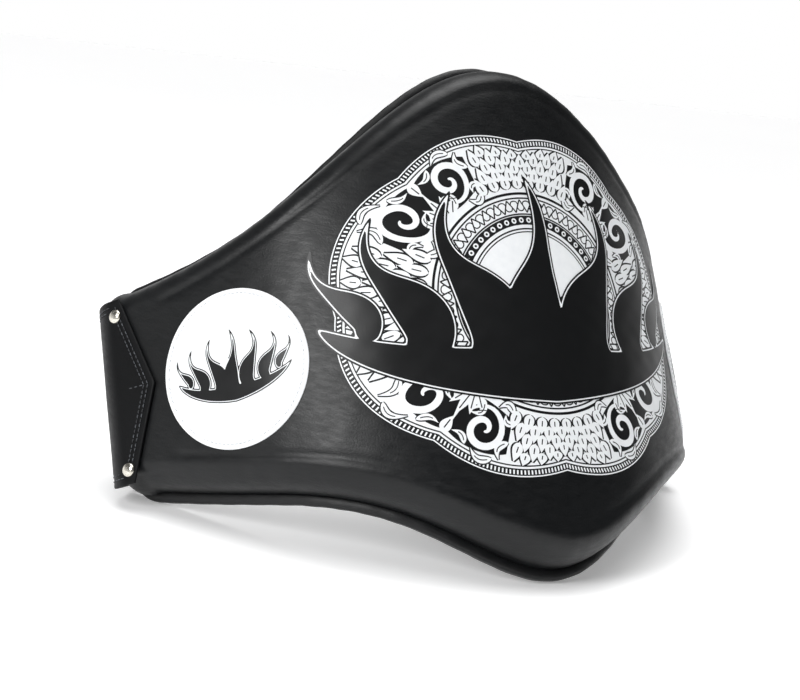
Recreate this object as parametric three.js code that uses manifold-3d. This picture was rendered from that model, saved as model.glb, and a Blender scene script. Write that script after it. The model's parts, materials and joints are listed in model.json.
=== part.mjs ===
// A Muay Thai trainer's belly and groin protector: a padded leather shield bent round the body, with a
// belt of two strap halves that close behind the wearer's back. Millimetres, +Z up.
//
// The pad is drawn in its worn frame: +X across the body, +Y towards the wearer, +Z up the body, with the
// foremost point of the leather at y = 0 and the lowest point of the rim at z = 0. Every padded piece is
// placed by three pad coordinates: s, the distance along the bent front from the middle; z, the height;
// and depth, the distance in from the front surface. The finished pad then leans back until it stands on
// its lower lobe and the lower corners of its two wings.
import * as THREE from 'three';
import { mergeVertices } from 'three/addons/utils/BufferGeometryUtils.js';
import Module from 'manifold-3d';

const wasm = await Module();
wasm.setup();

// Bend of the pad, seen from above.
const FRONT_RADIUS = 219;
const FRONT_HALF_ARC = 200;
const WING_RADIUS = 1119;
const HALF_LENGTH = 338;

// Outline of the pad, laid flat.
const WING_TOP = 248;
const HUMP_RISE = 123;
const HUMP_SPREAD = 166;
const LOBE_DROP = 58;
const LOBE_SPREAD = 105;
const WING_SWEEP = 41;
const CORNER_RADIUS = 24;

// Section of the pad.
const BEVEL_WIDTH = 26;
const EDGE_DEPTH = 35;
const COVER_THICKNESS = 1.8;
const LAYER_GAP = 0.8;
const FOAM_SLACK = 5.4;
const SOFT_FOAM_BACK = 13;
const CORE_FOAM_BACK = 25;
const FIRM_FOAM_BACK = 34.5;
const FOAM_EDGE = 1.5;
const LINING_INSET = 8.5;
const LINING_FRONT = 35.6;
const LINING_BACK = 37.4;
const BINDING_BACK = 39.8;
const BINDING_WIDTH = 6;
const BINDING_ROUND = 1.3;
const FIT_GAP = 0.4;

// Applied pieces on the front.
const SKIN_GAP = 0.9;
const PRINT_CENTRE_Z = 181;
const PRINT_HALF_WIDTH = 146;
const PRINT_HALF_HEIGHT = 118;
const PRINT_SCALLOPS = 8;
const PRINT_SCALLOP_DEPTH = 7;
const PRINT_THICKNESS = 0.4;
const BADGE_S = 220;
const BADGE_Z = 164;
const BADGE_RADIUS = 55;
const BADGE_THICKNESS = 1.3;

// Strap anchors, folded round the ends of the wings, and their rivets.
const STRAP_LEATHER = 2.2;
const ANCHOR_WRAP_GAP = 1.2;
const ANCHOR_TIP_S = 283;
const ANCHOR_POINT = 24;
const ANCHOR_LOW = 102;
const ANCHOR_HIGH = 234;
const BELT_LOW = 114;
const BELT_HIGH = 230;
const ANCHOR_END_X = 189;
const ANCHOR_STEPS = 18;
const ANCHOR_ROWS = 4;
const RIVET_S = 311;
const RIVET_HEIGHTS = { lower: 112, upper: 222 };
const RIVET_CAP_RADIUS = 4.8;
const RIVET_CAP_HEIGHT = 1.7;
const RIVET_CAP_GAP = 0.9;
const RIVET_SHANK_RADIUS = 1.6;
const RIVET_HOLE_RADIUS = 2.1;
const RIVET_SHANK_DEPTH = 10.8;
const BURR_RADIUS = 4.2;
const BURR_THICKNESS = 0.9;
const BURR_FRONT = 9;
const RIVET_POCKET_RADIUS = 6;
const RIVET_POCKET_DEPTH = 12;

// The belt. Both halves lie in planes across the back, the inner half nearer the pad.
const STRAP_START_X = 186;
const STRAP_REACH_X = 52;
const STRAP_END_WIDTH = 104;
const STRAP_END_ROUND = 14;
const INNER_STRAP_Y = 224;
const PILE_THICKNESS = 1.6;
const PILE_GAP = 0.3;
const PILE_MARGIN = 8;
const LOOP_START_X = -112;
const RIGHT_BASE_END_X = 96;
const ELASTIC_THICKNESS = 2.4;
const ELASTIC_WIDTH = 112;
const ELASTIC_END_X = 24;
const TAB_START_X = 20;

// Stance: how far the pad leans back when it stands on its lobe and wing corners.
const LEAN_DEG = 30.1;

// Mesh fineness.
const BEVEL_STEPS = 3;
const LENGTH_STEPS = 24;
const S_STEPS = LENGTH_STEPS + 2 * BEVEL_STEPS;
const Z_STEPS = 1 + 2 * BEVEL_STEPS;

const BLACK_LEATHER = { color: 0x17181b, roughness: 0.42, metalness: 0 };
const STRAP_BLACK = { color: 0x141518, roughness: 0.48, metalness: 0 };
const WHITE_LEATHER = { color: 0xf2f3f4, roughness: 0.5, metalness: 0 };
const PRINT_WHITE = { color: 0xe8eaec, roughness: 0.45, metalness: 0 };
const SOFT_FOAM = { color: 0xd9d3c4, roughness: 0.95, metalness: 0 };
const FIRM_FOAM = { color: 0x3a3d42, roughness: 0.9, metalness: 0 };
const LINING_CLOTH = { color: 0x1b1c1f, roughness: 0.85, metalness: 0 };
const ELASTIC_WEB = { color: 0x111214, roughness: 0.9, metalness: 0 };
const PILE_BLACK = { color: 0x0e0f10, roughness: 1, metalness: 0 };
const NICKEL = { color: 0xc9c6bd, roughness: 0.25, metalness: 1 };

// The point at pad coordinates s, z and depth.
function onPad(s, z, depth) {
  const frontTurn = Math.min(Math.abs(s), FRONT_HALF_ARC) / FRONT_RADIUS;
  const turn = turnAt(s);
  const x = FRONT_RADIUS * Math.sin(frontTurn) + WING_RADIUS * (Math.sin(turn) - Math.sin(frontTurn));
  const y = FRONT_RADIUS * (1 - Math.cos(frontTurn)) + WING_RADIUS * (Math.cos(frontTurn) - Math.cos(turn));
  const side = s < 0 ? -1 : 1;
  return new THREE.Vector3(side * (x - depth * Math.sin(turn)), y + depth * Math.cos(turn), z);
}

// How far the pad has turned from facing forward at s, in radians, the same on both sides.
function turnAt(s) {
  const reach = Math.abs(s);
  return Math.min(reach, FRONT_HALF_ARC) / FRONT_RADIUS + Math.max(reach - FRONT_HALF_ARC, 0) / WING_RADIUS;
}

// The direction that faces out of the pad at s.
function outwardAt(s) {
  const turn = Math.sign(s) * turnAt(s);
  return new THREE.Vector3(Math.sin(turn), -Math.cos(turn), 0);
}

function topEdge(s) {
  return WING_TOP + HUMP_RISE * Math.exp(-((s / HUMP_SPREAD) ** 2));
}

function bottomEdge(s) {
  return LOBE_DROP * (1 - Math.exp(-((s / LOBE_SPREAD) ** 2))) + WING_SWEEP * (s / HALF_LENGTH) ** 2;
}

// Vertical length of a 1 mm step square to a sloping edge.
function slant(edge, s) {
  return Math.hypot(1, edge(s + 0.5) - edge(s - 0.5));
}

// Lowest and highest z of the outline at s, when the outline is drawn a distance inset inside the rim.
function outline(s, inset) {
  const radius = Math.max(CORNER_RADIUS - inset, 0);
  const intoCorner = Math.abs(s) - (HALF_LENGTH - inset - radius);
  const past = THREE.MathUtils.clamp(intoCorner, 0, radius);
  const cut = radius - Math.sqrt(radius ** 2 - past ** 2);
  return {
    low: bottomEdge(s) + inset * slant(bottomEdge, s) + cut,
    high: topEdge(s) - inset * slant(topEdge, s) - cut,
  };
}

// Rows of points from the edge of a bevelled piece to its flat top: how far in each row lies, and what
// share of the way down to the edge it has sunk. The bevel is a quarter of an ellipse.
function bevelRows(firstAngle) {
  return Array.from({ length: BEVEL_STEPS + 1 }, (_, k) => {
    const angle = THREE.MathUtils.lerp(firstAngle, Math.PI / 2, k / BEVEL_STEPS);
    return { inset: BEVEL_WIDTH * (1 - Math.cos(angle)), sink: 1 - Math.sin(angle) };
  });
}

// One face of a padded piece as a function of its grid indices.
function face({ inset = 0, flatDepth, edgeDepth, rows }) {
  return (i, j) => {
    const row = rows[Math.min(i, S_STEPS - i, BEVEL_STEPS)];
    const end = HALF_LENGTH - inset - row.inset;
    const share = THREE.MathUtils.clamp((i - BEVEL_STEPS) / LENGTH_STEPS, 0, 1);
    const s = end * (2 * share - 1);
    const lift = rows[Math.min(j, Z_STEPS - j, BEVEL_STEPS)];
    const span = outline(s, inset + lift.inset);
    const sink = Math.max(row.sink, lift.sink);
    const z = j <= BEVEL_STEPS ? span.low : span.high;
    return onPad(s, z, flatDepth + (edgeDepth - flatDepth) * sink);
  };
}

// Moves every vertex of a geometry to the place that the function gives it.
function reshaped(geometry, place) {
  const position = geometry.getAttribute('position');
  const point = new THREE.Vector3();
  for (let k = 0; k < position.count; k += 1) {
    point.copy(place(point.fromBufferAttribute(position, k)));
    position.setXYZ(k, point.x, point.y, point.z);
  }
  geometry.computeVertexNormals();
  return geometry;
}

// A sheet or slab between two faces of the pad.
function slab(outer, inner) {
  const grid = new THREE.BoxGeometry(1, 1, 1, S_STEPS, Z_STEPS, 1);
  return reshaped(grid, (p) => {
    const i = Math.round((p.x + 0.5) * S_STEPS);
    const j = Math.round((p.y + 0.5) * Z_STEPS);
    return p.z > 0 ? outer(i, j) : inner(i, j);
  });
}

function coverGeometry() {
  const rows = bevelRows(0);
  const outer = face({ flatDepth: 0, edgeDepth: EDGE_DEPTH, rows });
  const inner = face({ inset: COVER_THICKNESS, flatDepth: COVER_THICKNESS, edgeDepth: EDGE_DEPTH, rows });
  return slab(outer, inner);
}

// A foam layer whose edge follows the inside of the cover down to FOAM_EDGE above its flat back.
function foamGeometry(front, back) {
  const inset = COVER_THICKNESS + FOAM_SLACK;
  const crest = COVER_THICKNESS + LAYER_GAP;
  const edgeAngle = Math.asin(1 - (back - FOAM_EDGE - crest) / (EDGE_DEPTH - crest));
  const frontAngle = Math.asin(1 - (front - crest) / (EDGE_DEPTH - crest));
  const rows = bevelRows(edgeAngle);
  const capped = rows.map((row) => ({ ...row, sink: Math.max(row.sink, 1 - Math.sin(frontAngle)) }));
  const outer = face({ inset, flatDepth: crest, edgeDepth: EDGE_DEPTH, rows: capped });
  const inner = face({ inset, flatDepth: back, edgeDepth: back, rows });
  return slab(outer, inner);
}

function liningGeometry() {
  const rows = bevelRows(0);
  const outer = face({ inset: LINING_INSET, flatDepth: LINING_FRONT, edgeDepth: LINING_FRONT, rows });
  const inner = face({ inset: LINING_INSET, flatDepth: LINING_BACK, edgeDepth: LINING_BACK, rows });
  return slab(outer, inner);
}

// The binding: a ring of hexagonal section that follows the rim behind the cover's edge.
function bindingGeometry() {
  const rows = bevelRows(0);
  const front = EDGE_DEPTH + FIT_GAP;
  const middle = (front + BINDING_BACK) / 2;
  const section = [
    { inset: 0, depth: middle },
    { inset: BINDING_ROUND, depth: front },
    { inset: BINDING_WIDTH, depth: front },
    { inset: BINDING_WIDTH, depth: middle },
    { inset: BINDING_WIDTH, depth: BINDING_BACK },
    { inset: BINDING_ROUND, depth: BINDING_BACK },
  ];
  const perSide = S_STEPS + 1;
  const ringSteps = 2 * perSide;
  const ring = new THREE.TorusGeometry(2, 1, section.length, ringSteps);
  return reshaped(ring, (p) => {
    const around = Math.round((Math.atan2(p.y, p.x) / (2 * Math.PI)) * ringSteps + ringSteps) % ringSteps;
    const across = Math.atan2(p.z, Math.hypot(p.x, p.y) - 2) / (2 * Math.PI);
    const corner = section[Math.round(across * section.length + section.length) % section.length];
    const onBottom = around < perSide;
    const i = onBottom ? around : ringSteps - 1 - around;
    const rim = face({ inset: corner.inset, flatDepth: corner.depth, edgeDepth: corner.depth, rows });
    return rim(i, onBottom ? 0 : Z_STEPS);
  });
}

// A thin disc that lies on the leather, with an outline given by its radius at each angle.
function disc({ s, z, radiusAt, rings, thickness, segments }) {
  const shares = Array.from({ length: rings + 1 }, (_, k) => k / rings);
  const profile = [
    ...shares.map((share) => new THREE.Vector2(share, 0)),
    ...shares.toReversed().map((share) => new THREE.Vector2(share, 1)),
  ];
  const round = new THREE.LatheGeometry(profile, segments);
  return reshaped(round, (p) => {
    const share = Math.hypot(p.x, p.z);
    const angle = Math.atan2(-p.z, p.x);
    const edge = radiusAt(angle);
    const depth = -SKIN_GAP - thickness * p.y;
    return onPad(s + share * edge * Math.cos(angle), z + share * edge * Math.sin(angle), depth);
  });
}

// Radius of the printed panel: an oval whose edge swells out in scallops.
function printRadius(angle) {
  const oval = Math.hypot(Math.cos(angle) / PRINT_HALF_WIDTH, Math.sin(angle) / PRINT_HALF_HEIGHT);
  const scallop = Math.abs(Math.sin((PRINT_SCALLOPS / 2) * angle));
  return 1 / oval + PRINT_SCALLOP_DEPTH * (scallop - 0.5);
}

function printGeometry() {
  return disc({
    s: 0,
    z: PRINT_CENTRE_Z,
    radiusAt: printRadius,
    rings: 6,
    thickness: PRINT_THICKNESS,
    segments: 40,
  });
}

function badgeGeometry(side) {
  return disc({
    s: side * BADGE_S,
    z: BADGE_Z,
    radiusAt: () => BADGE_RADIUS,
    rings: 3,
    thickness: BADGE_THICKNESS,
    segments: 32,
  });
}

// Seen from above, the middle line of the right anchor: along the front of the wing, round its end and
// in behind it, to the plane in which that half of the belt lies.
function anchorLine(strapY) {
  const gap = FIT_GAP + STRAP_LEATHER / 2;
  const points = [];
  const bendStart = HALF_LENGTH - BEVEL_WIDTH;
  for (const share of [0, 0.5]) {
    points.push(onPad(THREE.MathUtils.lerp(ANCHOR_TIP_S, bendStart, share), 0, -gap));
  }
  const wrap = ANCHOR_WRAP_GAP + STRAP_LEATHER / 2;
  for (const degrees of [10, 30, 50, 70, 90]) {
    const angle = THREE.MathUtils.degToRad(degrees);
    const s = bendStart + (BEVEL_WIDTH + wrap) * Math.sin(angle);
    points.push(onPad(s, 0, EDGE_DEPTH - (EDGE_DEPTH + wrap) * Math.cos(angle)));
  }
  const corner = onPad(HALF_LENGTH + wrap, 0, BINDING_BACK + FIT_GAP);
  const inward = outwardAt(HALF_LENGTH).negate();
  const meeting = corner.clone().addScaledVector(inward, (strapY - corner.y) / inward.y);
  const bend = new THREE.QuadraticBezierCurve3(corner, meeting, new THREE.Vector3(ANCHOR_END_X + 6, strapY, 0));
  points.push(...bend.getPoints(3), new THREE.Vector3(ANCHOR_END_X, strapY, 0));
  return new THREE.CatmullRomCurve3(points, false, 'centripetal');
}

// The strap anchor of one wing: a leather strip with a pointed front end.
function anchorGeometry(side, strapY) {
  const line = anchorLine(strapY);
  const pointShare = ANCHOR_POINT / line.getLength();
  const strip = new THREE.BoxGeometry(1, 1, 1, ANCHOR_STEPS, ANCHOR_ROWS, 1);
  return reshaped(strip, (p) => {
    const start = pointShare * Math.abs(2 * p.y);
    const along = THREE.MathUtils.lerp(start, 1, side * p.x + 0.5);
    const place = line.getPointAt(along);
    const tangent = line.getTangentAt(along);
    const outward = new THREE.Vector3(tangent.y, -tangent.x, 0);
    place.addScaledVector(outward, p.z * STRAP_LEATHER);
    const narrowing = THREE.MathUtils.smoothstep(along, 0.3, 0.95);
    const low = THREE.MathUtils.lerp(ANCHOR_LOW, BELT_LOW, narrowing);
    const high = THREE.MathUtils.lerp(ANCHOR_HIGH, BELT_HIGH, narrowing);
    return place.set(side * place.x, place.y, THREE.MathUtils.lerp(low, high, p.y + 0.5));
  });
}

// A geometry as a manifold-3d solid, and back.
function toSolid(geometry) {
  const bare = new THREE.BufferGeometry();
  bare.setAttribute('position', geometry.getAttribute('position').clone());
  bare.setIndex(geometry.index);
  const merged = mergeVertices(bare, 1e-3);
  return new wasm.Manifold(new wasm.Mesh({
    numProp: 3,
    vertProperties: merged.getAttribute('position').array,
    triVerts: new Uint32Array(merged.index.array),
  }));
}

function fromSolid(solid) {
  const { vertProperties, triVerts } = solid.getMesh();
  const geometry = new THREE.BufferGeometry();
  geometry.setAttribute('position', new THREE.BufferAttribute(new Float32Array(vertProperties), 3));
  geometry.setIndex(new THREE.BufferAttribute(new Uint32Array(triVerts), 1));
  geometry.computeVertexNormals();
  return geometry;
}

// A turned geometry stood square on the pad at a rivet, its axis pointing out.
function atRivet(geometry, side, z) {
  const s = side * RIVET_S;
  const turn = new THREE.Quaternion().setFromUnitVectors(new THREE.Vector3(0, 1, 0), outwardAt(s));
  return geometry.applyQuaternion(turn).translate(...onPad(s, z, 0).toArray());
}

// Drills both rivet places of each side given, from above the leather down to a depth.
function drilled(geometry, sides, radius, depth) {
  const above = 10;
  let solid = toSolid(geometry);
  for (const side of sides) {
    for (const z of Object.values(RIVET_HEIGHTS)) {
      const drill = new THREE.CylinderGeometry(radius, radius, depth + above, 12);
      drill.translate(0, (above - depth) / 2, 0);
      solid = solid.subtract(toSolid(atRivet(drill, side, z)));
    }
  }
  return fromSolid(solid);
}

// A domed cap on its shank.
function rivetGeometry(side, z) {
  const seat = FIT_GAP + STRAP_LEATHER + RIVET_CAP_GAP;
  const dome = [0, 30, 60, 80].map((degrees) => {
    const angle = THREE.MathUtils.degToRad(degrees);
    return new THREE.Vector2(
      RIVET_CAP_RADIUS * Math.cos(angle),
      seat + 0.4 + (RIVET_CAP_HEIGHT - 0.4) * Math.sin(angle),
    );
  });
  const profile = [
    new THREE.Vector2(0, -RIVET_SHANK_DEPTH),
    new THREE.Vector2(RIVET_SHANK_RADIUS, -RIVET_SHANK_DEPTH),
    new THREE.Vector2(RIVET_SHANK_RADIUS, seat),
    new THREE.Vector2(RIVET_CAP_RADIUS, seat),
    ...dome,
    new THREE.Vector2(0, seat + RIVET_CAP_HEIGHT),
  ];
  return atRivet(new THREE.LatheGeometry(profile, 14), side, z);
}

// The washer that holds the shank behind the cover.
function burrGeometry(side, z) {
  const front = -BURR_FRONT;
  const back = front - BURR_THICKNESS;
  const profile = [
    new THREE.Vector2(RIVET_HOLE_RADIUS, back),
    new THREE.Vector2(BURR_RADIUS, back),
    new THREE.Vector2(BURR_RADIUS, front),
    new THREE.Vector2(RIVET_HOLE_RADIUS, front),
    new THREE.Vector2(RIVET_HOLE_RADIUS, back),
  ];
  return atRivet(new THREE.LatheGeometry(profile, 12), side, z);
}

// A flat strip standing in a plane across the back, from x = start to x = end, with a rounded end.
function strip({ start, end, startWidth, endWidth, round, y, thickness }) {
  const middle = (BELT_LOW + BELT_HIGH) / 2;
  const along = Math.sign(end - start);
  const half = endWidth / 2;
  const outlineShape = new THREE.Shape();
  outlineShape.moveTo(start, middle - startWidth / 2);
  outlineShape.lineTo(end - along * round, middle - half);
  outlineShape.quadraticCurveTo(end, middle - half, end, middle - half + round);
  outlineShape.lineTo(end, middle + half - round);
  outlineShape.quadraticCurveTo(end, middle + half, end - along * round, middle + half);
  outlineShape.lineTo(start, middle + startWidth / 2);
  outlineShape.closePath();
  const geometry = new THREE.ExtrudeGeometry(outlineShape, {
    depth: thickness,
    bevelEnabled: false,
    curveSegments: 4,
  });
  return geometry.rotateX(Math.PI / 2).translate(0, y + thickness / 2, 0);
}

// Width of a belt half at x, tapering from root to end.
function strapWidthAt(x) {
  const share = (STRAP_START_X - Math.abs(x)) / (STRAP_START_X + STRAP_REACH_X);
  return THREE.MathUtils.lerp(BELT_HIGH - BELT_LOW, STRAP_END_WIDTH, share);
}

const LOOP_Y = INNER_STRAP_Y + (STRAP_LEATHER + PILE_THICKNESS) / 2 + PILE_GAP;
const HOOK_Y = LOOP_Y + PILE_THICKNESS + PILE_GAP;
const OUTER_STRAP_Y = HOOK_Y + (STRAP_LEATHER + PILE_THICKNESS) / 2 + PILE_GAP;

function beltPieces() {
  const pile = { startWidth: STRAP_END_WIDTH - 2 * PILE_MARGIN, endWidth: STRAP_END_WIDTH - 2 * PILE_MARGIN };
  return [
    ['left_strap', STRAP_BLACK, strip({
      start: -STRAP_START_X,
      end: STRAP_REACH_X,
      startWidth: BELT_HIGH - BELT_LOW,
      endWidth: STRAP_END_WIDTH,
      round: STRAP_END_ROUND,
      y: INNER_STRAP_Y,
      thickness: STRAP_LEATHER,
    })],
    ['loop_panel', PILE_BLACK, strip({
      ...pile,
      start: LOOP_START_X,
      end: STRAP_REACH_X - PILE_MARGIN,
      round: STRAP_END_ROUND / 2,
      y: LOOP_Y,
      thickness: PILE_THICKNESS,
    })],
    ['right_strap', STRAP_BLACK, strip({
      start: STRAP_START_X,
      end: RIGHT_BASE_END_X,
      startWidth: BELT_HIGH - BELT_LOW,
      endWidth: strapWidthAt(RIGHT_BASE_END_X),
      round: 2,
      y: OUTER_STRAP_Y,
      thickness: STRAP_LEATHER,
    })],
    ['elastic_panel', ELASTIC_WEB, strip({
      start: RIGHT_BASE_END_X - FIT_GAP,
      end: ELASTIC_END_X,
      startWidth: ELASTIC_WIDTH,
      endWidth: ELASTIC_WIDTH,
      round: 1,
      y: OUTER_STRAP_Y,
      thickness: ELASTIC_THICKNESS,
    })],
    ['closure_tab', STRAP_BLACK, strip({
      start: TAB_START_X,
      end: -STRAP_REACH_X - PILE_MARGIN,
      startWidth: ELASTIC_WIDTH,
      endWidth: STRAP_END_WIDTH,
      round: STRAP_END_ROUND,
      y: OUTER_STRAP_Y,
      thickness: STRAP_LEATHER,
    })],
    ['hook_panel', PILE_BLACK, strip({
      ...pile,
      start: TAB_START_X - PILE_MARGIN,
      end: -STRAP_REACH_X,
      round: STRAP_END_ROUND / 2,
      y: HOOK_Y,
      thickness: PILE_THICKNESS,
    })],
  ];
}

function padPieces() {
  const bothSides = [-1, 1];
  const softFoam = foamGeometry(COVER_THICKNESS + LAYER_GAP, SOFT_FOAM_BACK);
  return [
    ['front_cover', BLACK_LEATHER, drilled(coverGeometry(), bothSides, RIVET_HOLE_RADIUS, RIVET_POCKET_DEPTH)],
    ['soft_foam', SOFT_FOAM, drilled(softFoam, bothSides, RIVET_POCKET_RADIUS, RIVET_POCKET_DEPTH)],
    ['core_foam', FIRM_FOAM, foamGeometry(SOFT_FOAM_BACK + LAYER_GAP, CORE_FOAM_BACK)],
    ['firm_foam', FIRM_FOAM, foamGeometry(CORE_FOAM_BACK + LAYER_GAP, FIRM_FOAM_BACK)],
    ['back_lining', LINING_CLOTH, liningGeometry()],
    ['rim_binding', BLACK_LEATHER, bindingGeometry()],
    ['printed_panel', PRINT_WHITE, printGeometry()],
  ];
}

function wingPieces(label, side, strapY) {
  const rivets = Object.entries(RIVET_HEIGHTS).flatMap(([place, z]) => [
    [`${label}_${place}_rivet`, NICKEL, rivetGeometry(side, z)],
    [`${label}_${place}_burr`, NICKEL, burrGeometry(side, z)],
  ]);
  return [
    [`${label}_badge`, WHITE_LEATHER, badgeGeometry(side)],
    [`${label}_anchor`, STRAP_BLACK, drilled(anchorGeometry(side, strapY), [side], RIVET_HOLE_RADIUS, 3)],
    ...rivets,
  ];
}

// The whole protector, leaning back in its stance, with the centre of its base at the origin.
function protector() {
  const worn = new THREE.Group();
  const pieces = [
    ...padPieces(),
    ...wingPieces('left', -1, INNER_STRAP_Y),
    ...wingPieces('right', 1, OUTER_STRAP_Y),
    ...beltPieces(),
  ];
  for (const [name, finish, geometry] of pieces) {
    const mesh = new THREE.Mesh(geometry, new THREE.MeshStandardMaterial(finish));
    mesh.name = name;
    worn.add(mesh);
  }
  worn.rotation.x = -THREE.MathUtils.degToRad(LEAN_DEG);
  worn.updateMatrixWorld(true);
  const box = new THREE.Box3().setFromObject(worn, true);
  const centre = box.getCenter(new THREE.Vector3());
  worn.position.set(-centre.x, -centre.y, -box.min.z);
  const group = new THREE.Group();
  group.add(worn);
  return group;
}

export default protector();
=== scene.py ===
import json
import math

import bmesh
import bpy
import numpy as np
from mathutils import Matrix, Vector


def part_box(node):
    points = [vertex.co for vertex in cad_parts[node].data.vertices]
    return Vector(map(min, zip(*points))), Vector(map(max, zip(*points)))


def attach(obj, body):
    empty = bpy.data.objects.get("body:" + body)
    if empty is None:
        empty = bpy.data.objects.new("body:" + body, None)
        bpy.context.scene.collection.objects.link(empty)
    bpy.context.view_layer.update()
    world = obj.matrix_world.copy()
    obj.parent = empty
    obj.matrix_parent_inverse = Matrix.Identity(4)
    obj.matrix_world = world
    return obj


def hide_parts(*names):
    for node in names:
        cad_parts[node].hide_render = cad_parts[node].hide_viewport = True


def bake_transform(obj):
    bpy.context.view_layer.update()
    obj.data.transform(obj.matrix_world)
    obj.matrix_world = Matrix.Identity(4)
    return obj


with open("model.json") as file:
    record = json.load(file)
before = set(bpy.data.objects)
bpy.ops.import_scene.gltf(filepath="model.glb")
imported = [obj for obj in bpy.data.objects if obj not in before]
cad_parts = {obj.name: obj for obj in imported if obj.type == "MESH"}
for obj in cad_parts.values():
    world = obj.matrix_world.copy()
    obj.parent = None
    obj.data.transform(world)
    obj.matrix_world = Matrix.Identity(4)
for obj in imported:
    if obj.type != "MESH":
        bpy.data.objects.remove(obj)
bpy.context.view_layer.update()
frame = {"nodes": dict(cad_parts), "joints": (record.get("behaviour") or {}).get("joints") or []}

# ---- Sizes, in millimetres, as the pad is worn: X across, Y towards the wearer, Z up. ----
FRONT_RADIUS, FRONT_HALF_ARC, WING_RADIUS, HALF_LENGTH = 219.0, 200.0, 1119.0, 338.0
WING_TOP, HUMP_RISE, HUMP_SPREAD = 248.0, 123.0, 166.0
LOBE_DROP, LOBE_SPREAD, WING_SWEEP = 58.0, 105.0, 41.0
CORNER_RADIUS, BEVEL_WIDTH, EDGE_DEPTH = 24.0, 26.0, 35.0
COVER_THICKNESS = 1.6
PRINT_HALF_WIDTH, PRINT_HALF_HEIGHT = 143.0, 115.0
BADGE_S, BADGE_Z = 220.0, 164.0
STRAP_LEATHER = 2.2
ANCHOR_TIP_S, ANCHOR_POINT, ANCHOR_END_X = 283.0, 24.0, 187.4
ANCHOR_LOW, ANCHOR_HIGH = 102.0, 234.0
BELT_LOW, BELT_HIGH = 114.0, 230.0
RIVET_S, RIVET_HEIGHTS = 311.0, {"lower": 112.0, "upper": 222.0}
STRAP_Y = {-1: 224.0, 1: 230.3}
SIDES = {-1: "left", 1: "right"}

rng = np.random.default_rng(11)

# ---- The pad's surface ----
hinge = next(j for j in frame["joints"] if j["name"] == "left_belt_swing")
LEAN = math.atan2(hinge["axis"][1], hinge["axis"][2])
LEAN_COS, LEAN_SIN = math.cos(LEAN), math.sin(LEAN)


def leaned(worn):
    """Worn millimetres turned into the leaning stance, in metres, before the shift to the floor."""
    x, y, z = np.moveaxis(np.asarray(worn, float), -1, 0)
    return np.stack([x, y * LEAN_COS + z * LEAN_SIN, z * LEAN_COS - y * LEAN_SIN], -1) / 1000


HINGE_WORN = (-187.0, STRAP_Y[-1], (BELT_LOW + BELT_HIGH) / 2)
FLOOR_SHIFT = np.array(hinge.get("pos_m") or hinge.get("pos")) - leaned(HINGE_WORN)


def placed(worn):
    """Worn millimetres to the frame's metres."""
    return leaned(worn) + FLOOR_SHIFT


def unplaced(point):
    """The frame's metres back to worn millimetres."""
    x, y, z = (np.asarray(point) - FLOOR_SHIFT) * 1000
    return np.array([x, y * LEAN_COS - z * LEAN_SIN, y * LEAN_SIN + z * LEAN_COS])


def smooth(low, high, value):
    share = np.clip((value - low) / (high - low), 0, 1)
    return share * share * (3 - 2 * share)


def turn_at(s):
    reach = np.abs(s)
    front = np.minimum(reach, FRONT_HALF_ARC) / FRONT_RADIUS
    return front, front + np.maximum(reach - FRONT_HALF_ARC, 0) / WING_RADIUS


def outward_at(s):
    turn = np.sign(s) * turn_at(s)[1]
    return np.stack([np.sin(turn), -np.cos(turn), np.zeros_like(turn)], -1)


def on_pad(s, z, depth):
    """The worn point at pad coordinates s, z and depth behind the foremost leather."""
    s, z, depth = np.broadcast_arrays(np.asarray(s, float), z, depth)
    front, turn = turn_at(s)
    x = FRONT_RADIUS * np.sin(front) + WING_RADIUS * (np.sin(turn) - np.sin(front))
    y = FRONT_RADIUS * (1 - np.cos(front)) + WING_RADIUS * (np.cos(front) - np.cos(turn))
    side = np.where(s < 0, -1.0, 1.0)
    return np.stack([side * (x - depth * np.sin(turn)), y + depth * np.cos(turn), z], -1)


def top_edge(s):
    return WING_TOP + HUMP_RISE * np.exp(-((s / HUMP_SPREAD) ** 2))


def bottom_edge(s):
    return LOBE_DROP * (1 - np.exp(-((s / LOBE_SPREAD) ** 2))) + WING_SWEEP * (s / HALF_LENGTH) ** 2


def slant(edge, s):
    return np.hypot(1, edge(s + 0.5) - edge(s - 0.5))


def outline(s, inset):
    """Lowest and highest z of the outline drawn a distance inset inside the rim."""
    radius = np.maximum(CORNER_RADIUS - inset, 0)
    past = np.clip(np.abs(s) - (HALF_LENGTH - inset - radius), 0, radius)
    cut = radius - np.sqrt(np.maximum(radius**2 - past**2, 0))
    low = bottom_edge(s) + inset * slant(bottom_edge, s) + cut
    high = top_edge(s) - inset * slant(top_edge, s) - cut
    return low, high


def walk(path):
    """Distance walked along a path at each of its points."""
    steps = np.linalg.norm(np.diff(path, axis=0), axis=1)
    return np.concatenate([[0], np.cumsum(steps)])


def read_along(at, walked, path):
    """Points of a path at given distances along it."""
    return np.stack([np.interp(at, walked, column) for column in path.T], -1)


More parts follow.
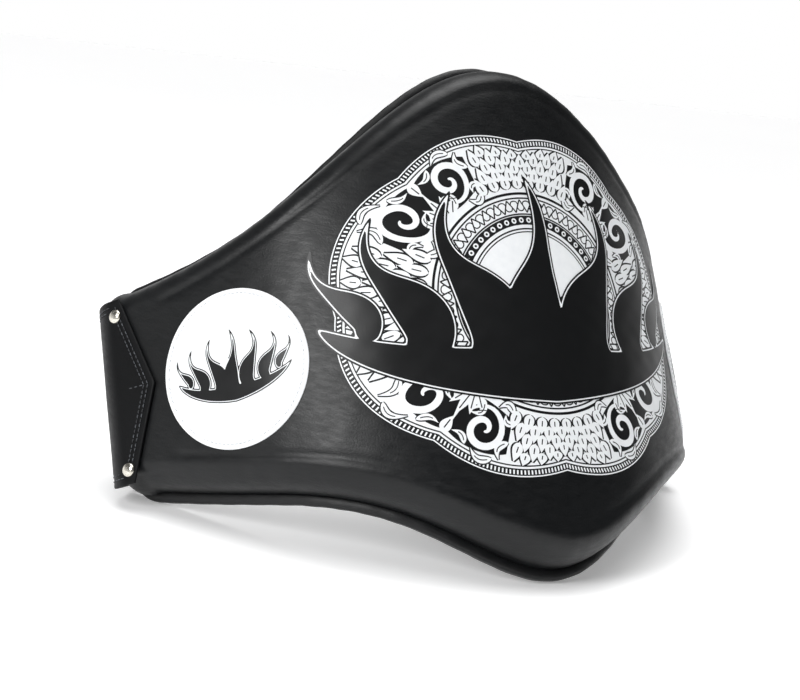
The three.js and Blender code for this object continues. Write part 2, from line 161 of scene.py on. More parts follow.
def rim_loop(pitch=2.0):
    """The rim as a closed run of evenly spaced points, with the inward direction at each."""
    s = HALF_LENGTH * np.sin(np.linspace(-math.pi / 2, math.pi / 2, 900))
    low, high = outline(s, np.zeros_like(s))
    rise = np.linspace(0, 1, 60)[1:-1]
    end = np.full_like(rise, HALF_LENGTH)
    run = np.concatenate([
        np.stack([s, low], -1),
        np.stack([end, low[-1] + (high[-1] - low[-1]) * rise], -1),
        np.stack([s, high], -1)[::-1],
        np.stack([-end, high[0] + (low[0] - high[0]) * rise], -1),
    ])
    closed = np.vstack([run, run[:1]])
    walked = walk(closed)
    count = int(round(walked[-1] / pitch))
    points = read_along(np.linspace(0, walked[-1], count, endpoint=False), walked, closed)
    along = np.roll(points, -2, 0) - np.roll(points, 2, 0)
    along /= np.linalg.norm(along, axis=1, keepdims=True)
    return points, np.stack([-along[:, 1], along[:, 0]], -1), walked[-1]


RIM, RIM_INWARD, RIM_LENGTH = rim_loop()


def rim_distance(s, z):
    """How far inside the rim each pad point lies, and how far round the rim that is."""
    flat_s, flat_z = np.ravel(s), np.ravel(z)
    nearest = np.empty(flat_s.shape)
    where = np.empty(flat_s.shape)
    for start in range(0, len(flat_s), 4000):
        piece = slice(start, start + 4000)
        gap = np.hypot(flat_s[piece, None] - RIM[:, 0], flat_z[piece, None] - RIM[:, 1])
        closest = gap.argmin(1)
        offset = np.stack([flat_s[piece], flat_z[piece]], -1) - RIM[closest]
        nearest[piece] = np.abs((offset * RIM_INWARD[closest]).sum(1))
        along = offset[:, 1] * RIM_INWARD[closest, 0] - offset[:, 0] * RIM_INWARD[closest, 1]
        where[piece] = closest * (RIM_LENGTH / len(RIM)) - along
    return nearest.reshape(np.shape(s)), where.reshape(np.shape(s))


def waves(count, shortest, longest):
    """Random shallow waves over the pad, as directions, lengths and phases."""
    angle = rng.uniform(0, 2 * math.pi, count)
    length = rng.uniform(shortest, longest, count)
    return np.cos(angle) / length, np.sin(angle) / length, rng.uniform(0, 2 * math.pi, count)


BROAD_WAVES = waves(9, 55, 140)
FINE_WAVES = waves(12, 14, 34)
GATHER_PHASES = rng.uniform(0, 2 * math.pi, 7)


def rippled(s, z, wave_set):
    across, up, phase = wave_set
    total = sum(np.sin(2 * math.pi * (s * a + z * u) + p) for a, u, p in zip(across, up, phase))
    return total / math.sqrt(len(phase))


# Each soft crease: middle s and z, heading in degrees, length, width and depth.
CREASES = [
    (-262, 226, 12, 70, 7, 0.55), (-238, 236, 20, 52, 6, 0.40), (-286, 246, 62, 26, 5, 0.45),
    (-206, 86, -14, 64, 7, 0.50), (-150, 62, -24, 48, 6, 0.40), (-96, 46, -30, 44, 6, 0.45),
    (-60, 44, 16, 40, 7, 0.50), (38, 40, -12, 46, 7, 0.50), (96, 52, 22, 40, 6, 0.40),
    (-182, 262, 38, 60, 8, 0.45), (-120, 312, 44, 60, 9, 0.45), (64, 330, -30, 50, 8, 0.40),
    (200, 84, 12, 60, 7, 0.45), (246, 230, -14, 64, 7, 0.50), (-272, 118, -58, 30, 5, 0.35),
    (176, 258, -34, 54, 8, 0.40), (268, 118, 54, 30, 5, 0.35), (0, 26, 4, 60, 8, 0.45),
]


def creased(s, z):
    total = np.zeros(np.shape(s))
    for middle_s, middle_z, heading, length, width, depth in CREASES:
        turn = math.radians(heading)
        along = (s - middle_s) * math.cos(turn) + (z - middle_z) * math.sin(turn)
        bow = 0.0025 * along**2
        aside = (z - middle_z) * math.cos(turn) - (s - middle_s) * math.sin(turn) - bow
        total += depth * np.exp(-((along / (length / 2)) ** 2) - (aside / (width / 2)) ** 2)
    return total


SEAM_IN, SEAM_WIDTH, SEAM_DEPTH = 30.0, 2.6, 0.75
# The leather lies calm and flat under the straps, from the first of these s outwards.
UNDER_STRAPS = (262, 282)
STRAP_DENT = 0.1
GATHER_PITCHES = (13.0, 17.5, 21.0, 29.0, 37.0, 53.0, 71.0)
GATHER_IN, GATHER_WIDTH, GATHER_HEIGHT = 16.0, 8.0, 0.09
BROAD_HEIGHT, FINE_HEIGHT = 0.40, 0.07
SWELL_CELL, SWELL_CAP, SWELL_BLUR = 6.0, 5.0, 6.5
SWELL_S = np.arange(-354, 355, SWELL_CELL)
SWELL_Z = np.arange(-18, 397, SWELL_CELL)
swell_map = np.zeros((len(SWELL_Z), len(SWELL_S)))


FLANGE_WIDTH, FLANGE_END = 6.5, (306, 330)


def rolled_edge(s, inside):
    """Depth of the leather a distance inside the rim, before anything swells it: flat in the
    sewn flange that the binding covers, then rolled up over the foam. Under the anchors the
    flange runs out."""
    flange = FLANGE_WIDTH * (1 - smooth(*FLANGE_END, np.abs(s)))
    climb = np.clip((inside - flange) / (BEVEL_WIDTH - flange), 0, 1)
    return EDGE_DEPTH * (1 - np.sqrt(1 - (1 - climb) ** 2))


def swollen(s, z):
    """How far the foam has pressed the leather out, read smoothly from the simulated map."""
    total = np.zeros(np.shape(s))
    across = (np.asarray(s) - SWELL_S[0]) / SWELL_CELL
    up = (np.asarray(z) - SWELL_Z[0]) / SWELL_CELL
    column, row = np.floor(across).astype(int), np.floor(up).astype(int)
    u, v = across - column, up - row

    def spline(t):
        return ((1 - t) ** 3 / 6, (3 * t**3 - 6 * t**2 + 4) / 6,
                (-3 * t**3 + 3 * t**2 + 3 * t + 1) / 6, t**3 / 6)

    for j, weight_up in enumerate(spline(v)):
        for i, weight_across in enumerate(spline(u)):
            rows = np.clip(row + j - 1, 0, len(SWELL_Z) - 1)
            columns = np.clip(column + i - 1, 0, len(SWELL_S) - 1)
            total = total + weight_up * weight_across * swell_map[rows, columns]
    return total


def skin_depth(s, z):
    """Depth of the leather's outer face: its rolled edge, swell, seam, gathers and creases."""
    inside, round_rim = rim_distance(s, z)
    free = 1 - smooth(*UNDER_STRAPS, np.abs(s))
    seam = SEAM_DEPTH * np.exp(-(((inside - SEAM_IN) / SEAM_WIDTH) ** 2))
    gather = sum(np.sin(2 * math.pi * round_rim / pitch + phase)
                 for pitch, phase in zip(GATHER_PITCHES, GATHER_PHASES))
    gather_zone = np.exp(-(((inside - GATHER_IN) / GATHER_WIDTH) ** 2)) * smooth(8, 13, inside)
    swells = BROAD_HEIGHT * rippled(s, z, BROAD_WAVES) + FINE_HEIGHT * rippled(s, z, FINE_WAVES)
    relief = (creased(s, z) + swells) * smooth(8, 40, inside) + seam - swollen(s, z)
    gathered = GATHER_HEIGHT * gather * gather_zone
    return rolled_edge(s, inside) + relief * free + gathered + STRAP_DENT * (1 - free)


def on_skin(s, z, lift):
    """The worn point that stands a height lift over the leather."""
    return on_pad(s, z, skin_depth(s, z) - lift)


# ---- Mesh making ----
def made_object(name, points, faces, material, slot, crisp=None, weld=True):
    """A smooth-shaded object from worn points and faces."""
    mesh = bpy.data.meshes.new(name)
    faces = [tuple(int(i) for i in face) for face in faces]
    mesh.from_pydata([tuple(p) for p in placed(points)], [], faces)
    work = bmesh.new()
    work.from_mesh(mesh)
    if weld:
        bmesh.ops.remove_doubles(work, verts=work.verts, dist=1e-6)
    bmesh.ops.recalc_face_normals(work, faces=work.faces)
    for f in work.faces:
        f.smooth = True
    work.to_mesh(mesh)
    work.free()
    if crisp is not None:
        mesh.set_sharp_from_angle(angle=math.radians(crisp))
    piece = bpy.data.objects.new(name, mesh)
    bpy.context.scene.collection.objects.link(piece)
    mesh.materials.append(material)
    return piece


def grid_faces(rows, columns, start=0, closed_rows=False, closed_columns=False):
    """Quads over a grid of points numbered row by row."""
    last_row = rows if closed_rows else rows - 1
    last_column = columns if closed_columns else columns - 1
    i, j = np.meshgrid(np.arange(last_row), np.arange(last_column), indexing="ij")
    i, j = i.ravel(), j.ravel()
    down, right = (i + 1) % rows, (j + 1) % columns
    quads = np.stack([i * columns + j, i * columns + right,
                      down * columns + right, down * columns + j], -1)
    return quads + start


def capped_rings(rings, count):
    """Faces of a body of rings of points, closed at both ends."""
    faces = [tuple(f) for f in grid_faces(rings, count, closed_columns=True)]
    return faces + [tuple(range(count)), tuple(range((rings - 1) * count, rings * count))]


def closed_slab(outer, inner):
    """Points and faces of a body between two grids of worn points."""
    rows, columns = outer.shape[:2]
    count = rows * columns
    points = np.concatenate([outer.reshape(-1, 3), inner.reshape(-1, 3)])
    edge = [i * columns for i in range(rows)]
    edge += [(rows - 1) * columns + j for j in range(1, columns)]
    edge += [i * columns + columns - 1 for i in range(rows - 2, -1, -1)]
    edge += [j for j in range(columns - 2, 0, -1)]
    edge = np.array(edge)
    after = np.roll(edge, -1)
    walls = np.stack([edge, after, after + count, edge + count], -1)
    front = grid_faces(rows, columns)
    back = grid_faces(rows, columns, count)[:, ::-1]
    return points, np.concatenate([front, back, walls])


def spread(length, edge, middle_step):
    """Steps along a strip that are fine at both ends, where its edge is rounded."""
    fine = edge * (1 - np.cos(np.linspace(0, math.pi / 2, 6)))
    count = max(int((length - 2 * edge) / middle_step), 2)
    middle = np.linspace(edge, length - edge, count + 1)[1:-1]
    return np.concatenate([fine, middle, length - fine[::-1]])


def rounded(from_edge, radius):
    """Share of the full half-thickness at a distance from a rounded edge."""
    climb = np.clip(from_edge / radius, 0, 1)
    return np.sqrt(np.maximum(1 - (1 - climb) ** 2, 0))


def stitch_run(points, normals, pitch=3.6, length=2.7, radius=0.42, closed=False):
    """Stitches along a run of worn points, each a short loop of thread that dips at its ends."""
    if closed:
        points, normals = np.vstack([points, points[:1]]), np.vstack([normals, normals[:1]])
    walked = walk(points)
    count = max(int(walked[-1] / pitch), 1)
    pitch = walked[-1] / count
    stations, sides = 5, 6
    all_points, all_faces = [], []
    share = np.linspace(0, 1, stations)
    around = np.arange(sides) * 2 * math.pi / sides
    for k in range(count):
        at = k * pitch + (pitch - length) / 2 + share * length
        middle = read_along(at, walked, points)
        up = read_along(at, walked, normals)
        up /= np.linalg.norm(up, axis=1, keepdims=True)
        along = np.gradient(middle, axis=0)
        along /= np.linalg.norm(along, axis=1, keepdims=True)
        aside = np.cross(along, up)
        arch = np.sin(math.pi * share)
        middle = middle + up * (radius * (1.1 * arch - 0.75))[:, None]
        thick = radius * (0.55 + 0.45 * np.sqrt(arch))
        ring = (
            middle[:, None]
            + thick[:, None, None] * np.cos(around)[None, :, None] * aside[:, None]
            + thick[:, None, None] * np.sin(around)[None, :, None] * up[:, None]
        )
        start = len(all_points) * stations * sides
        all_points.append(ring.reshape(-1, 3))
        all_faces += [tuple(start + i for i in f) for f in capped_rings(stations, sides)]
    return np.concatenate(all_points), all_faces


def joined(*runs):
    """Several (points, faces) as one."""
    points, faces, start = [], [], 0
    for some_points, some_faces in runs:
        points.append(some_points)
        faces += [tuple(i + start for i in f) for f in some_faces]
        start += len(some_points)
    return np.concatenate(points), faces


# ---- Materials ----
def linear(hex_colour):
    """An sRGB hex colour as linear RGBA."""
    channels = [int(hex_colour[k:k + 2], 16) / 255 for k in (0, 2, 4)]
    straight = [c / 12.92 if c <= 0.04045 else ((c + 0.055) / 1.055) ** 2.4 for c in channels]
    return (*straight, 1.0)


def add(tree, kind, inputs=None, **settings):
    """A node with its settings, each input filled with a value or another node's output."""
    node = tree.nodes.new(kind)
    for key, value in settings.items():
        setattr(node, key, value)
    for key, value in (inputs or {}).items():
        if isinstance(value, bpy.types.NodeSocket):
            tree.links.new(value, node.inputs[key])
        else:
            node.inputs[key].default_value = value
    return node


def started(name):
    """An empty material tree, with the place of each point in the frame, in metres."""
    material = bpy.data.materials.new(name)
    material.use_nodes = True
    tree = material.node_tree
    tree.nodes.clear()
    place = add(tree, "ShaderNodeTexCoord").outputs["Object"]
    return material, tree, place


def finished(tree, **sockets):
    """Ends a tree in one Principled shader with these sockets."""
    names = {key: key.replace("_", " ") for key in sockets}
    shader = add(tree, "ShaderNodeBsdfPrincipled", {names[k]: v for k, v in sockets.items()})
    add(tree, "ShaderNodeOutputMaterial", {"Surface": shader.outputs["BSDF"]})


# A wave texture draws 20 bands for each unit of its scale.
WAVE_BANDS = 20


def per_mm(size):
    """Texture scale for a pattern that repeats every size millimetres, in a space of metres."""
    return 1000.0 / size


def blended(tree, factor, low, high):
    """A colour between two hex colours."""
    mix = add(tree, "ShaderNodeMix", data_type="RGBA")
    tree.links.new(factor, mix.inputs["Factor"])
    mix.inputs[6].default_value = linear(low)
    mix.inputs[7].default_value = linear(high)
    return mix.outputs[2]


def leather(name, dark, light, rough, grain_mm, grain_depth, gloss):
    """Corrected-grain cowhide: split into small pebbles by its grain, pulled into faint streaks
    and sealed with a soft finish, so its highlights are broad and break up where it is rubbed."""
    material, tree, place = started(name)
    pores = add(tree, "ShaderNodeTexVoronoi", {"Vector": place, "Scale": per_mm(grain_mm)})
    pull = add(tree, "ShaderNodeMapping", {"Vector": place, "Scale": (1.0, 1.0, 3.2)})
    streaks = add(tree, "ShaderNodeTexNoise",
                  {"Vector": pull.outputs[0], "Scale": per_mm(9), "Detail": 6.0, "Roughness": 0.62})
    clouds = add(tree, "ShaderNodeTexNoise", {"Vector": place, "Scale": per_mm(60), "Detail": 4.0})
    fine = add(tree, "ShaderNodeTexNoise", {"Vector": place, "Scale": per_mm(0.7), "Detail": 3.0})
    tone = blended(tree, clouds.outputs["Fac"], dark, light)
    worn = add(tree, "ShaderNodeMapRange",
               {"Value": streaks.outputs["Fac"], "From Min": 0.3, "From Max": 0.7,
                "To Min": rough - 0.06, "To Max": rough + 0.08})
    pebbles = add(tree, "ShaderNodeBump",
                  {"Height": pores.outputs["Distance"], "Strength": grain_depth,
                   "Distance": 0.0003})
    streaked = add(tree, "ShaderNodeBump",
                   {"Height": streaks.outputs["Fac"], "Strength": 0.22, "Distance": 0.0009,
                    "Normal": pebbles.outputs[0]})
    dusted = add(tree, "ShaderNodeBump",
                 {"Height": fine.outputs["Fac"], "Strength": 0.08, "Distance": 0.0002,
                  "Normal": streaked.outputs[0]})
    finished(tree, Base_Color=tone, Roughness=worn.outputs[0], Normal=dusted.outputs[0],
             Specular_IOR_Level=gloss, Coat_Weight=0.05, Coat_Roughness=0.28)
    return material


def ink(name, dark, light, rough):
    """Screen-printed ink baked on leather: opaque, flat, a shade uneven where the hide is open."""
    material, tree, place = started(name)
    thin = add(tree, "ShaderNodeTexNoise", {"Vector": place, "Scale": per_mm(5), "Detail": 5.0})
    tone = blended(tree, thin.outputs["Fac"], dark, light)
    pores = add(tree, "ShaderNodeTexVoronoi", {"Vector": place, "Scale": per_mm(1.2)})
    bump = add(tree, "ShaderNodeBump",
               {"Height": pores.outputs["Distance"], "Strength": 0.1, "Distance": 0.0002})
    finished(tree, Base_Color=tone, Roughness=rough, Normal=bump.outputs[0],
             Specular_IOR_Level=0.4)
    return material


def woven(name, dark, light, thread_mm, rough, depth):
    """Woven nylon: threads over and under each other, drawn coarse enough to show, with a painted
    highlight on the raised crossings and painted shade between them.
    """
    material, tree, place = started(name)
    warp, weft = (
        add(tree, "ShaderNodeTexWave", {"Vector": place, "Scale": per_mm(thread_mm) / WAVE_BANDS},
            wave_type="BANDS", bands_direction=direction)
        for direction in "XZ"
    )
    crossing = add(tree, "ShaderNodeMath", {0: warp.outputs["Fac"], 1: weft.outputs["Fac"]},
                   operation="MULTIPLY")
    patchy = add(tree, "ShaderNodeTexNoise", {"Vector": place, "Scale": per_mm(25), "Detail": 4.0})
    shade = add(tree, "ShaderNodeMath", {0: crossing.outputs[0], 1: patchy.outputs["Fac"]},
                operation="MULTIPLY")
    # Painted highlight and shade: the colour is lighter on the raised crossings and darker between
    # them, following the bump; the patchy noise is random tone.
    tone = blended(tree, shade.outputs[0], dark, light)
    bump = add(tree, "ShaderNodeBump",
               {"Height": crossing.outputs[0], "Strength": depth, "Distance": 0.0004})
    finished(tree, Base_Color=tone, Roughness=rough, Normal=bump.outputs[0], Sheen_Weight=0.25,
             Sheen_Roughness=0.5)
    return material


def foam(name, dark, light, cell_mm):
    """Cut closed-cell foam: open cells over the whole face, dull and slightly mottled."""
    material, tree, place = started(name)
    cells = add(tree, "ShaderNodeTexVoronoi", {"Vector": place, "Scale": per_mm(cell_mm)})
    mottle = add(tree, "ShaderNodeTexNoise", {"Vector": place, "Scale": per_mm(12), "Detail": 4.0})
    tone = blended(tree, mottle.outputs["Fac"], dark, light)
    bump = add(tree, "ShaderNodeBump",
               {"Height": cells.outputs["Distance"], "Strength": 0.5, "Distance": 0.0006})
    finished(tree, Base_Color=tone, Roughness=0.93, Normal=bump.outputs[0])
    return material


def pile(name, dark, light, tuft_mm, height):
    """Nylon touch tape: a thick field of loops or hooks that drinks the light, with a fuzzy rim."""
    material, tree, place = started(name)
    tufts = add(tree, "ShaderNodeTexVoronoi", {"Vector": place, "Scale": per_mm(tuft_mm)})
    fuzz = add(tree, "ShaderNodeTexNoise", {"Vector": place, "Scale": per_mm(0.5), "Detail": 6.0})
    height_sum = add(tree, "ShaderNodeMath", {0: tufts.outputs["Distance"], 1: fuzz.outputs["Fac"]},
                     operation="ADD")
    tone = blended(tree, tufts.outputs["Distance"], light, dark)
    bump = add(tree, "ShaderNodeBump",
               {"Height": height_sum.outputs[0], "Strength": height, "Distance": 0.0008})
    finished(tree, Base_Color=tone, Roughness=0.96, Normal=bump.outputs[0], Sheen_Weight=0.5,
             Sheen_Roughness=0.4)
    return material


def nickel_plate(name):
    """Nickel-plated steel, stamped and tumbled: a bright warm mirror, clouded by fine scuffs."""
    material, tree, place = started(name)
    scuffs = add(tree, "ShaderNodeTexNoise", {"Vector": place, "Scale": per_mm(1.1), "Detail": 8.0})
    cloud = add(tree, "ShaderNodeTexNoise", {"Vector": place, "Scale": per_mm(4), "Detail": 3.0})
    tone = blended(tree, cloud.outputs["Fac"], "b9b4a8", "e2dfd6")
    rough = add(tree, "ShaderNodeMapRange",
                {"Value": scuffs.outputs["Fac"], "From Min": 0.35, "From Max": 0.7,
                 "To Min": 0.16, "To Max": 0.34})
    bump = add(tree, "ShaderNodeBump",
               {"Height": scuffs.outputs["Fac"], "Strength": 0.1, "Distance": 0.0001})
    finished(tree, Base_Color=tone, Roughness=rough.outputs[0], Normal=bump.outputs[0],
             Metallic=1.0)
    return material


def bonded_thread(name, dark, light):
    """Bonded nylon thread: tightly twisted, with ply ridges in the bump, a painted highlight along
    each ridge and painted shade between them, so each stitch shows small light stripes.
    """
    material, tree, place = started(name)
    ply_ridges_and_painted_highlight = add(tree, "ShaderNodeTexWave",
                {"Vector": place, "Scale": per_mm(0.8) / WAVE_BANDS, "Distortion": 1.0},
                wave_type="BANDS", bands_direction="DIAGONAL")
    # Painted highlight and shade: the colour is lighter along each ply ridge and darker between
    # ridges, on the same stripes as the bump.
    tone = blended(tree, ply_ridges_and_painted_highlight.outputs["Fac"], dark, light)
    bump = add(tree, "ShaderNodeBump",
               {"Height": ply_ridges_and_painted_highlight.outputs["Fac"], "Strength": 0.4, "Distance": 0.0001})
    finished(tree, Base_Color=tone, Roughness=0.55, Normal=bump.outputs[0])
    return material


def floor_paper(name):
    """Matt white background paper: all but even, with the faintest cloud."""
    material, tree, place = started(name)
    cloud = add(tree, "ShaderNodeTexNoise", {"Vector": place, "Scale": per_mm(900), "Detail": 2.0})
    tone = blended(tree, cloud.outputs["Fac"], "fafafb", "ffffff")
    finished(tree, Base_Color=tone, Roughness=0.9, Specular_IOR_Level=0.2,
             Emission_Color=linear("ffffff"), Emission_Strength=0.25)
    return material


cover_leather = leather("smooth_cowhide_finished_black", "08090a", "0f1113", 0.40, 1.3, 0.16, 0.30)
strap_leather = leather("strap_cowhide_edge_dyed_black", "060708", "0c0d0f", 0.50, 1.1, 0.22, 0.12)
binding_leather = leather("turned_cowhide_binding_black", "070809", "0e0f11", 0.46, 0.9, 0.25, 0.36)
badge_leather = leather("smooth_cowhide_pigmented_white", "eceff2", "f8f9fa", 0.42, 1.2, 0.10, 0.4)
white_ink = ink("screen_ink_white", "e6e9ec", "f4f6f7", 0.42)
black_ink = ink("screen_ink_black", "08090a", "0f1012", 0.36)
dark_thread = bonded_thread("bonded_nylon_thread_charcoal", "26282b", "53575c")
pale_thread = bonded_thread("bonded_nylon_thread_pale_grey", "b9bdc2", "dfe2e5")
lining_nylon = woven("woven_nylon_lining_black", "101113", "2a2c30", 1.4, 0.62, 0.35)
elastic_web = woven("woven_elastic_webbing_black", "0d0e0f", "26282b", 1.8, 0.7, 0.6)
loop_pile = pile("knitted_loop_pile_black", "0b0c0c", "232426", 1.1, 0.8)
hook_pile = pile("moulded_hook_tape_black", "0a0a0b", "1c1d1f", 1.5, 1.0)
soft_foam = foam("open_cell_foam_cream", "cfc8b6", "ded8c8", 0.9)
firm_foam = foam("closed_cell_foam_grey", "3a3d42", "4a4e54", 0.6)
core_foam = foam("closed_cell_foam_pale_grey", "8d8f90", "a2a4a4", 0.7)
nickel = nickel_plate("nickel_plated_steel_stamped")

for node, material in {
    "soft_foam": soft_foam, "core_foam": core_foam, "firm_foam": firm_foam,
    "left_lower_burr": nickel, "left_upper_burr": nickel,
    "right_lower_burr": nickel, "right_upper_burr": nickel,
}.items():
    for material_slot in frame["nodes"][node].material_slots:
        material_slot.material = material

# ---- Camera, lights and floor ----
CAMERA_AZIMUTH, CAMERA_ELEVATION, CAMERA_ROLL = -30.24, 11.77, 7.57
CAMERA_DISTANCE, CAMERA_LENS = 1.2719, 72.83
FLOOR_HEIGHT, FLOOR_HALF = -0.0015, 7.0
CAMERA_TARGET = Vector((0.0021, 0.1130, 0.0987))


def camera_made():
    azimuth, elevation = math.radians(CAMERA_AZIMUTH), math.radians(CAMERA_ELEVATION)
    back = Vector((math.sin(azimuth) * math.cos(elevation),
                   -math.cos(azimuth) * math.cos(elevation), math.sin(elevation)))
    level = Vector((math.cos(azimuth), math.sin(azimuth), 0))
    turned = Matrix.Rotation(math.radians(CAMERA_ROLL), 3, back)
    right = turned @ level
    up = back.cross(right)
    data = bpy.data.cameras.new("camera")
    data.lens, data.sensor_width, data.clip_start = CAMERA_LENS, 36.0, 0.05
    camera = bpy.data.objects.new("camera", data)
    place = CAMERA_TARGET + back * CAMERA_DISTANCE
    camera.matrix_world = Matrix((
        (right.x, up.x, back.x, place.x), (right.y, up.y, back.y, place.y),
        (right.z, up.z, back.z, place.z), (0, 0, 0, 1)))
    bpy.context.scene.collection.objects.link(camera)
    bpy.context.scene.camera = camera


def softbox(name, place, aim, width, height, watts):
    data = bpy.data.lights.new(name, "AREA")
    data.shape, data.size, data.size_y, data.energy = "RECTANGLE", width, height, watts
    lamp = bpy.data.objects.new(name, data)
    lamp.location = place
    lamp.rotation_euler = (Vector(aim) - Vector(place)).to_track_quat("-Z", "Y").to_euler()
    bpy.context.scene.collection.objects.link(lamp)


def studio_floor():
    """A white paper floor that reaches far past the view."""
    mesh = bpy.data.meshes.new("studio_floor")
    corners = [(-1, -1), (1, -1), (1, 1), (-1, 1)]
    mesh.from_pydata([(x * FLOOR_HALF, y * FLOOR_HALF, FLOOR_HEIGHT) for x, y in corners], [],
                     [(0, 1, 2, 3)])
    mesh.materials.append(floor_paper("matt_background_paper_white"))
    floor = bpy.data.objects.new("studio_floor", mesh)
    bpy.context.scene.collection.objects.link(floor)


def studio_walls():
    """White walls that shine low and behind the pad, dim ones in front of it, and a bright canopy
    right overhead. Seen directly they are plain white."""
    world = bpy.data.worlds.new("studio")
    world.use_nodes = True
    tree = world.node_tree
    background = tree.nodes["Background"]
    background.inputs["Color"].default_value = linear("ffffff")
    direction = add(tree, "ShaderNodeTexCoord").outputs["Generated"]
    heading = add(tree, "ShaderNodeSeparateXYZ", {0: direction})
    low, behind, canopy = (
        add(tree, "ShaderNodeMapRange",
            {"Value": heading.outputs[axis], "From Min": start, "From Max": end,
             "To Min": before, "To Max": after}).outputs[0]
        for axis, start, end, before, after in (
            ("Z", 0.12, 0.32, 1.0, 0.18), ("Y", -0.2, 0.5, 0.3, 1.0), ("Z", 0.86, 0.93, 0.0, 3.2))
    )
    seen = add(tree, "ShaderNodeLightPath").outputs["Is Camera Ray"]
    light = low
    for operation, other in (("MULTIPLY", behind), ("ADD", canopy), ("MAXIMUM", seen)):
        light = add(tree, "ShaderNodeMath", {0: light, 1: other}, operation=operation).outputs[0]
    tree.links.new(light, background.inputs["Strength"])
    bpy.context.scene.world = world
    bpy.context.scene.view_settings.view_transform = "Standard"


camera_made()
studio_floor()
studio_walls()
softbox("softbox_over", (0.4, 0.5, 1.9), (0, 0.05, 0.0), 1.4, 1.2, 10)
softbox("softbox_left", (-1.32, -0.56, 0.80), (-0.146, -0.024, 0.146), 0.45, 0.6, 13)


# ---- The padded cover ----
def insets(steps, flange):
    """How far inside the rim the rows over the flange and the rolled edge lie."""
    rolled = flange + (BEVEL_WIDTH - flange) * (1 - np.cos(np.linspace(0, math.pi / 2, steps + 1)))
    flat = flange * np.array([0, 0.08, 0.28, 0.56, 0.84]) if flange else []
    return np.concatenate([flat, rolled])


def pad_grid(inset, bevel_steps, columns, rows, flange=0.0):
    """s and z of a grid over the pad that is fine along its rolled edge."""
    rolled = insets(bevel_steps, flange)
    reach = HALF_LENGTH - inset - BEVEL_WIDTH
    across = np.linspace(-reach, reach, columns + 1)
    ends = HALF_LENGTH - inset - rolled[:-1]
    s = np.concatenate([-ends, across, ends[::-1]])
    low, high = [], []
    for rolled_in in rolled:
        bottom, top = outline(s, np.full_like(s, inset + rolled_in))
        low.append(bottom)
        high.append(top)
    low, high = np.array(low), np.array(high)
    share = np.linspace(0, 1, rows + 1)[1:-1, None]
    middle = low[-1] * (1 - share) + high[-1] * share
    z = np.concatenate([low, middle, high[::-1]])
    return np.broadcast_to(s, z.shape), z


PRESSED_ACROSS, PRESSED_UP, PRESSED_STEPS = 96, 44, 20
FOAM_PRESSURE, LEATHER_STRETCH, LEATHER_BEND = 4.0, 40.0, 6.0
HELD_RIM, SEAM_HOLD, SEAM_HOLD_WIDTH = 16, 0.9, 5.0


def press_out():
    """Cloth simulation: the leather, held at its rim, its inner seam and its straps, is pushed out
    by the foam. How far each point moves, capped, is the swell map that all on top follows."""
    s = np.broadcast_to(np.linspace(-330, 330, PRESSED_ACROSS), (PRESSED_UP, PRESSED_ACROSS))
    low, high = outline(s[0], np.full(PRESSED_ACROSS, 5.0))
    z = low + (high - low) * np.linspace(0, 1, PRESSED_UP)[:, None]
    inside, _ = rim_distance(s, z)
    outer = on_pad(s, z, rolled_edge(s, inside))
    inner = on_pad(s, z, np.full_like(z, EDGE_DEPTH + 1))
    piece = made_object("simulated_leather", *closed_slab(outer, inner), cover_leather,
                        "black_leather", weld=False)
    seam_hold = SEAM_HOLD * np.exp(-(((inside - SEAM_IN) / SEAM_HOLD_WIDTH) ** 2))
    edge_hold = np.where(inside < HELD_RIM, 1.0, seam_hold)
    hold = np.maximum(edge_hold, smooth(*UNDER_STRAPS, np.abs(s))).ravel()
    pins = piece.vertex_groups.new(name="held")
    for k, weight in enumerate(hold):
        pins.add([k], float(weight), "REPLACE")
    pins.add(list(range(len(hold), 2 * len(hold))), 1.0, "REPLACE")
    cloth = piece.modifiers.new("cloth", "CLOTH")
    cloth.settings.vertex_group_mass = "held"
    cloth.settings.use_pressure = True
    cloth.settings.uniform_pressure_force = FOAM_PRESSURE
    cloth.settings.effector_weights.gravity = 0.0
    cloth.settings.tension_stiffness = cloth.settings.compression_stiffness = LEATHER_STRETCH
    cloth.settings.bending_stiffness = LEATHER_BEND
    cloth.point_cache.frame_start, cloth.point_cache.frame_end = 1, PRESSED_STEPS
    for step in range(1, PRESSED_STEPS + 1):
        bpy.context.scene.frame_set(step)
    moved = piece.evaluated_get(bpy.context.evaluated_depsgraph_get()).to_mesh()
    after = np.array([v.co for v in moved.vertices][:len(hold)])
    before = placed(outer).reshape(-1, 3)
    facing = leaned(outward_at(s).reshape(-1, 3)) * 1000
    push = ((after - before) * facing).sum(1) * 1000
    push = SWELL_CAP * np.tanh(np.maximum(push, 0) / SWELL_CAP)
    bpy.context.scene.frame_set(1)
    bpy.data.objects.remove(piece)
    flat_s, flat_z = s.ravel(), z.ravel()
    for row, map_z in enumerate(SWELL_Z):
        gap = np.hypot(flat_s[None] - SWELL_S[:, None], flat_z[None] - map_z)
        weight = np.exp(-((gap / SWELL_BLUR) ** 2)) + 1e-12
        swell_map[row] = (weight * push).sum(1) / weight.sum(1)


press_out()


def cover():
    """Front cover: one leather shell drawn over the foam and down its rolled edge."""
    s, z = pad_grid(0.0, 9, 190, 84, FLANGE_WIDTH)
    depth = skin_depth(s, z)
    points = on_pad(s, z, np.minimum(depth, EDGE_DEPTH)).reshape(-1, 3)
    piece = made_object("front_cover_leather", points, grid_faces(*s.shape), cover_leather,
                        "black_leather")
    skin = piece.modifiers.new("hide_thickness", "SOLIDIFY")
    skin.thickness, skin.offset = COVER_THICKNESS / 1000, -1
    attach(piece, "pad")
    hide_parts("front_cover")


cover()


